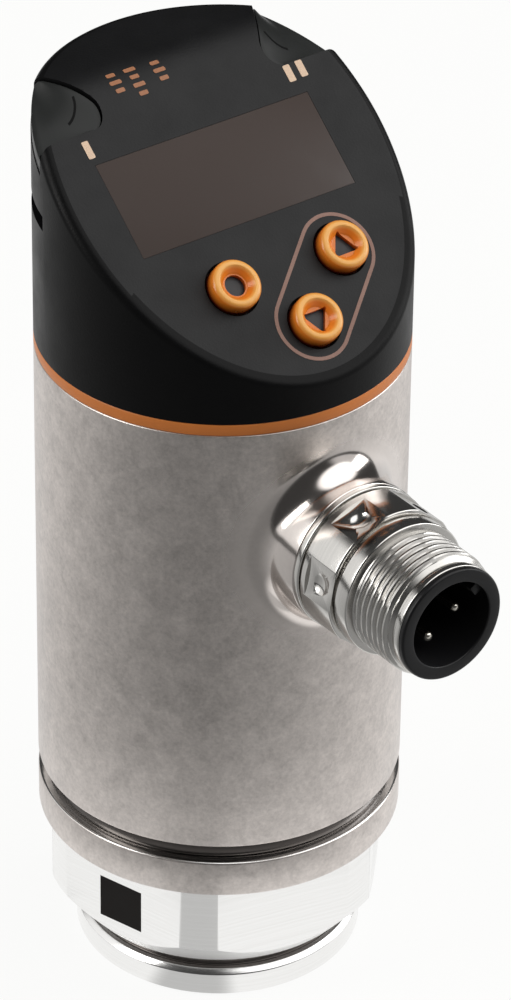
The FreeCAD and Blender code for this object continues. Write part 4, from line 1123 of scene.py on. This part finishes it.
class TRANSMITTER_OT_connection(bpy.types.Operator):
    """Build the process connection, its dark square and the slide ring, whose near-black steel is painted
    shade
    """
    bl_idname = "transmitter.connection"
    bl_label = "Process connection"

    def execute(self, context):
        turned = settle(process_connection(), "base", "bright housing slide chamfer",
                        ["process_connection"])
        for face in turned.data.polygons:
            x, y, z = face.center / MM
            away = math.hypot(x, y)
            collar = HEX_TOP + 0.05 < z < COLLAR_TOP - 0.1 and away > body_radius() - 0.1
            neck = NECK_LOW <= z <= NECK_TOP and away < NECK_R + 0.5
            collar_foot = HEX_TOP - 0.05 < z < HEX_TOP + 0.22 and away > body_radius() - 0.5
            under_hexagon = 4.6 < z < 7.8 and -0.9 < face.normal.z < -0.45
            # The neck and the foot of the collar take the near-black slide-ring steel: painted shade in
            # these recesses.
            if collar:
                face.material_index = 1
            elif neck or collar_foot:
                face.material_index = 2
            elif under_hexagon:
                face.material_index = 3
        settle(flat_mark(), "base", "mark")
        # The slide ring is polished steel whose near-black finish is painted shade.
        settle(slide_ring(), "base", "slide", ["slide_ring"])
        return {"FINISHED"}


class TRANSMITTER_OT_housing(bpy.types.Operator):
    """Build the housing shell and the orange ring above it"""
    bl_idname = "transmitter.housing"
    bl_label = "Housing"

    def execute(self, context):
        settle(housing_shell(), "housing", "housing", ["housing"])
        settle(ring_piece(), "housing", "ring", ["seal_ring"])
        return {"FINISHED"}


class TRANSMITTER_OT_head(bpy.types.Operator):
    """Build the cap, display window and indicator lenses"""
    bl_idname = "transmitter.head"
    bl_label = "Head"

    def execute(self, context):
        cap = settle(head_cap(), "housing", "cap panel", ["head_cap"])
        inside = body_radius() - CAP_EDGE + 0.05
        for face in cap.data.polygons:
            spot = face.center / MM
            if abs(face.normal.x) < 0.02 and face.normal.z > 0.75 and math.hypot(spot.x, spot.y) < inside:
                face.material_index = 1
        settle(display_window(), "housing", "window", ["display_window"])
        lens = right_lens()
        left = mirror_x(lens, "indicator_lens_left")
        mark = guide_mark(lens)
        settle(mirror_x(mark, "guide_mark_left"), "housing", "lens_edge")
        settle(mark, "housing", "lens_edge")
        settle(lens, "housing", "lens", ["led_lens_right"])
        settle(left, "housing", "lens", ["led_lens_left"])
        return {"FINISHED"}


class TRANSMITTER_OT_prints(bpy.types.Operator):
    """Print the outline, the status bars and the generic legend on the face"""
    bl_idname = "transmitter.prints"
    bl_label = "Printed marks"

    def execute(self, context):
        settle(outline_print(), "housing", "outline")
        settle(status_prints(), "housing", "pale_ink")
        settle(legend_prints(), "housing", "ink")
        return {"FINISHED"}


class TRANSMITTER_OT_keys(bpy.types.Operator):
    """Build the three keys and their dark cores"""
    bl_idname = "transmitter.keys"
    bl_label = "Keys"

    def execute(self, context):
        for name, (x, s) in KEYS.items():
            settle(key_body(name, x, s), name + "_key", "key", [name + "_button"])
            settle(key_core(name, x, s), name + "_key", "key_core", [name + "_button_core"])
        return {"FINISHED"}


class TRANSMITTER_OT_connector(bpy.types.Operator):
    """Build the plug connector's shell, insert and pins"""
    bl_idname = "transmitter.connector"
    bl_label = "Plug connector"

    def execute(self, context):
        shell = settle(connector_body(), "housing", "nickel thread", ["connector_body"])
        for face in shell.data.polygons:
            if -32.3 < face.center.y / MM < -27.06:
                face.material_index = 1
        settle(connector_insert(), "housing", "insert", ["connector_insert"])
        settle(contact_pins(), "housing", "gold", ["contact_pins"])
        return {"FINISHED"}


INNER_FINISHES = {
    "rubber": "swivel_seal cell_seal cap_seal connector_seal", "mat": "keypad_seal",
    "spring": "retaining_ring stop_pin", "ceramic": "measuring_cell", "brass": "cell_clamp_ring",
    "board": "cell_board display_board main_board pin_board", "chips": "cell_board_chips board_chips",
    "socket": "signal_socket board_connector", "module": "display_module", "lamp": "status_leds",
    "switch": "key_switches set_plunger up_plunger down_plunger", "carrier": "board_carrier",
    "lead": "signal_lead", "strip": "lead_strip",
}


class TRANSMITTER_OT_inner(bpy.types.Operator):
    """Give the enclosed CAD pieces their finishes"""
    bl_idname = "transmitter.inner"
    bl_label = "Inner pieces"

    def execute(self, context):
        for finish, nodes in INNER_FINISHES.items():
            for node in nodes.split():
                mesh = frame["nodes"][node].data
                mesh.materials.clear()
                mesh.materials.append(finish_of(finish))
        return {"FINISHED"}


# Stage

FLOOR_RADIUS = 3000.0
FLOOR_LEVEL = -0.02          # just under the foot
FLOOR_DIM_DEG = -138.0       # side on which the mirrored floor is dimmest
FLOOR_DIM = {                # what is mapped, from and to which value, dimness there, soft ends
    "side": (-0.9, 1.0, 0.0, 0.77), "far_side": (-0.70, -1.0, 0.0, 0.3, True),
    "clear_of_foot": (0.028, 0.052, 0.0, 1.0, True),
    "streak": (0.93, 0.985, 0.0, 0.42, True), "rim": (0.50, 0.62, 0.0, 0.92, True),
}
FLOOR_GLOW = 0.92            # share of the floor's own light where the eye or a mirror sees it
HORIZON = (0.015, 0.045)     # height over which the room's light comes in
FLOOR_COLOUR = (0.86, 0.86, 0.85)
STAGE_WHITE = (1.0, 1.0, 0.992)
ROOM_LEVEL = 0.05
ROOM_PANELS = (              # direction, cosine where it starts, cosine where it is full, strength
    ((0.35, -0.35, 0.87), 0.75, 0.86, 1.6),
    ((0.80, -0.60, 0.12), 0.80, 0.92, 0.6),
    ((-0.80, 0.60, 0.12), 0.76, 0.90, 0.9),
)


def floor():
    """Pale floor, white to the eye, and dimmer on one side where the metal mirrors it."""
    material, tree = new_tree("stage_floor")
    path = tree.nodes.new("ShaderNodeLightPath").outputs
    mirrored = maths(tree, "ADD", path["Is Glossy Ray"], path["Is Transmission Ray"], clamp=True)
    seen = maths(tree, "ADD", path["Is Camera Ray"], mirrored, clamp=True)
    unseen = maths(tree, "SUBTRACT", 1.0, path["Is Camera Ray"])
    geometry = tree.nodes.new("ShaderNodeNewGeometry").outputs
    side = Matrix.Rotation(math.radians(FLOOR_DIM_DEG), 3, "Z") @ Vector((1, 0, 0))
    towards = vectors(tree, "DOT_PRODUCT", vectors(tree, "NORMALIZE", geometry["Position"]), side)
    reach = vectors(tree, "LENGTH", geometry["Position"])
    dim = maths(tree, "ADD", ramp(tree, towards, *FLOOR_DIM["side"]),
                ramp(tree, towards, *FLOOR_DIM["far_side"]))
    dim = times(tree, dim, ramp(tree, reach, *FLOOR_DIM["clear_of_foot"]))
    for value, name in ((towards, "streak"), (reach, "rim")):
        dim = maths(tree, "MAXIMUM", dim, ramp(tree, value, *FLOOR_DIM[name]))
    level = maths(tree, "SUBTRACT", 1.0, times(tree, dim, unseen))
    plain = add(tree, "ShaderNodeBsdfDiffuse", Color=blend_colours(tree, level, (0, 0, 0), FLOOR_COLOUR))
    white = add(tree, "ShaderNodeEmission", Color=STAGE_WHITE, Strength=level)
    above = mix_shaders(tree, times(tree, seen, FLOOR_GLOW), plain, white)
    clear = tree.nodes.new("ShaderNodeBsdfTransparent")
    end_tree(tree, mix_shaders(tree, geometry["Backfacing"], above, clear))
    obj = lathe("stage_floor_disc", [(0, FLOOR_LEVEL), (FLOOR_RADIUS, FLOOR_LEVEL)], 96)
    obj.data.transform(Matrix.Scale(MM, 4))
    if obj.data.polygons[0].normal.z < 0:
        obj.data.flip_normals()
    obj.data.materials.append(material)


def world():
    """Dim room with a broad overhead softbox and a panel on each side, white to the eye."""
    made = bpy.data.worlds.new("stage_world")
    bpy.context.scene.world = made
    made.use_nodes = True
    tree = made.node_tree
    tree.nodes.clear()
    coord = tree.nodes.new("ShaderNodeTexCoord").outputs["Generated"]

    def glow(direction, start, full, strength):
        towards = vectors(tree, "DOT_PRODUCT", coord, Vector(direction).normalized())
        return ramp(tree, towards, start, full, 0.0, strength, True)

    level = 0.0
    for panel in ROOM_PANELS:
        level = maths(tree, "ADD", glow(*panel), level)
    level = times(tree, level, glow((0, 0, 1), *HORIZON, 1.0))
    level = maths(tree, "ADD", level, ROOM_LEVEL)
    dim = add(tree, "ShaderNodeBackground", Color=(1.0, 0.995, 0.985), Strength=level)
    white = add(tree, "ShaderNodeBackground", Color=STAGE_WHITE, Strength=1.0)
    eye = tree.nodes.new("ShaderNodeLightPath").outputs["Is Camera Ray"]
    end_tree(tree, mix_shaders(tree, eye, dim, white), "ShaderNodeOutputWorld")


LAMP_AIM = (0, 0, 48)
LAMPS = (                    # name, place, size, watts, colour
    ("left_softbox", (-430, 120, 330), (200, 380), 1.0, (1.0, 0.99, 0.97)),
    ("right_softbox", (450, -150, 210), (220, 320), 0.6, (1.0, 1.0, 1.0)),
)


def lamp(name, spot, size, watts, colour):
    data = bpy.data.lights.new(name, "AREA")
    data.shape = "RECTANGLE"
    data.size, data.size_y = size[0] * MM, size[1] * MM
    data.energy = watts
    data.color = colour
    obj = bpy.data.objects.new(name, data)
    bpy.context.scene.collection.objects.link(obj)
    obj.location = Vector(spot) * MM
    obj.rotation_euler = (Vector(LAMP_AIM) * MM - obj.location).to_track_quat("-Z", "Y").to_euler()


def camera():
    data = bpy.data.cameras.new("stage_camera")
    data.lens = CAMERA_LENS
    data.sensor_width = 36.0
    data.clip_start = 0.01
    data.clip_end = 50.0
    obj = bpy.data.objects.new("stage_camera", data)
    bpy.context.scene.collection.objects.link(obj)
    back = Vector(CAMERA_BACK).normalized()
    turn = back.to_track_quat("Z", "Y").to_matrix().to_4x4()
    obj.matrix_world = (Matrix.Translation((Vector(CAMERA_AIM) + back * CAMERA_DISTANCE) * MM) @ turn
                        @ Matrix.Rotation(CAMERA_ROLL, 4, "Z"))
    bpy.context.scene.camera = obj


class TRANSMITTER_OT_stage(bpy.types.Operator):
    """Set up the floor, the soft lights and the camera"""
    bl_idname = "transmitter.stage"
    bl_label = "Stage"

    def execute(self, context):
        bpy.context.scene.view_settings.view_transform = "Standard"
        camera()
        floor()
        world()
        for details in LAMPS:
            lamp(*details)
        return {"FINISHED"}


ORDER = ("stage", "finishes", "connection", "housing", "head", "prints", "keys", "connector", "inner")


class TRANSMITTER_PT_panel(bpy.types.Panel):
    """Sizes, colours and the steps that build the transmitter"""
    bl_label = "Pressure Transmitter"
    bl_idname = "TRANSMITTER_PT_panel"
    bl_space_type = "VIEW_3D"
    bl_region_type = "UI"
    bl_category = "Transmitter"

    def draw(self, context):
        layout = self.layout
        for owner in (context.scene.transmitter_sizes, context.scene.transmitter_colours):
            section = layout.box()
            for name in owner.__annotations__:
                section.prop(owner, name)
        for name in ORDER:
            layout.operator("transmitter." + name)


CLASSES = (
    TransmitterSizes, TransmitterColours, TRANSMITTER_OT_finishes, TRANSMITTER_OT_connection,
    TRANSMITTER_OT_housing, TRANSMITTER_OT_head, TRANSMITTER_OT_prints, TRANSMITTER_OT_keys,
    TRANSMITTER_OT_connector, TRANSMITTER_OT_inner, TRANSMITTER_OT_stage, TRANSMITTER_PT_panel,
)


def register():
    for cls in CLASSES:
        bpy.utils.register_class(cls)
    bpy.types.Scene.transmitter_sizes = PointerProperty(type=TransmitterSizes)
    bpy.types.Scene.transmitter_colours = PointerProperty(type=TransmitterColours)


def unregister():
    del bpy.types.Scene.transmitter_colours
    del bpy.types.Scene.transmitter_sizes
    for cls in reversed(CLASSES):
        bpy.utils.unregister_class(cls)


def main():
    register()
    for name in ORDER:
        getattr(bpy.ops.transmitter, name)()


if __name__ == "__main__":
    main()
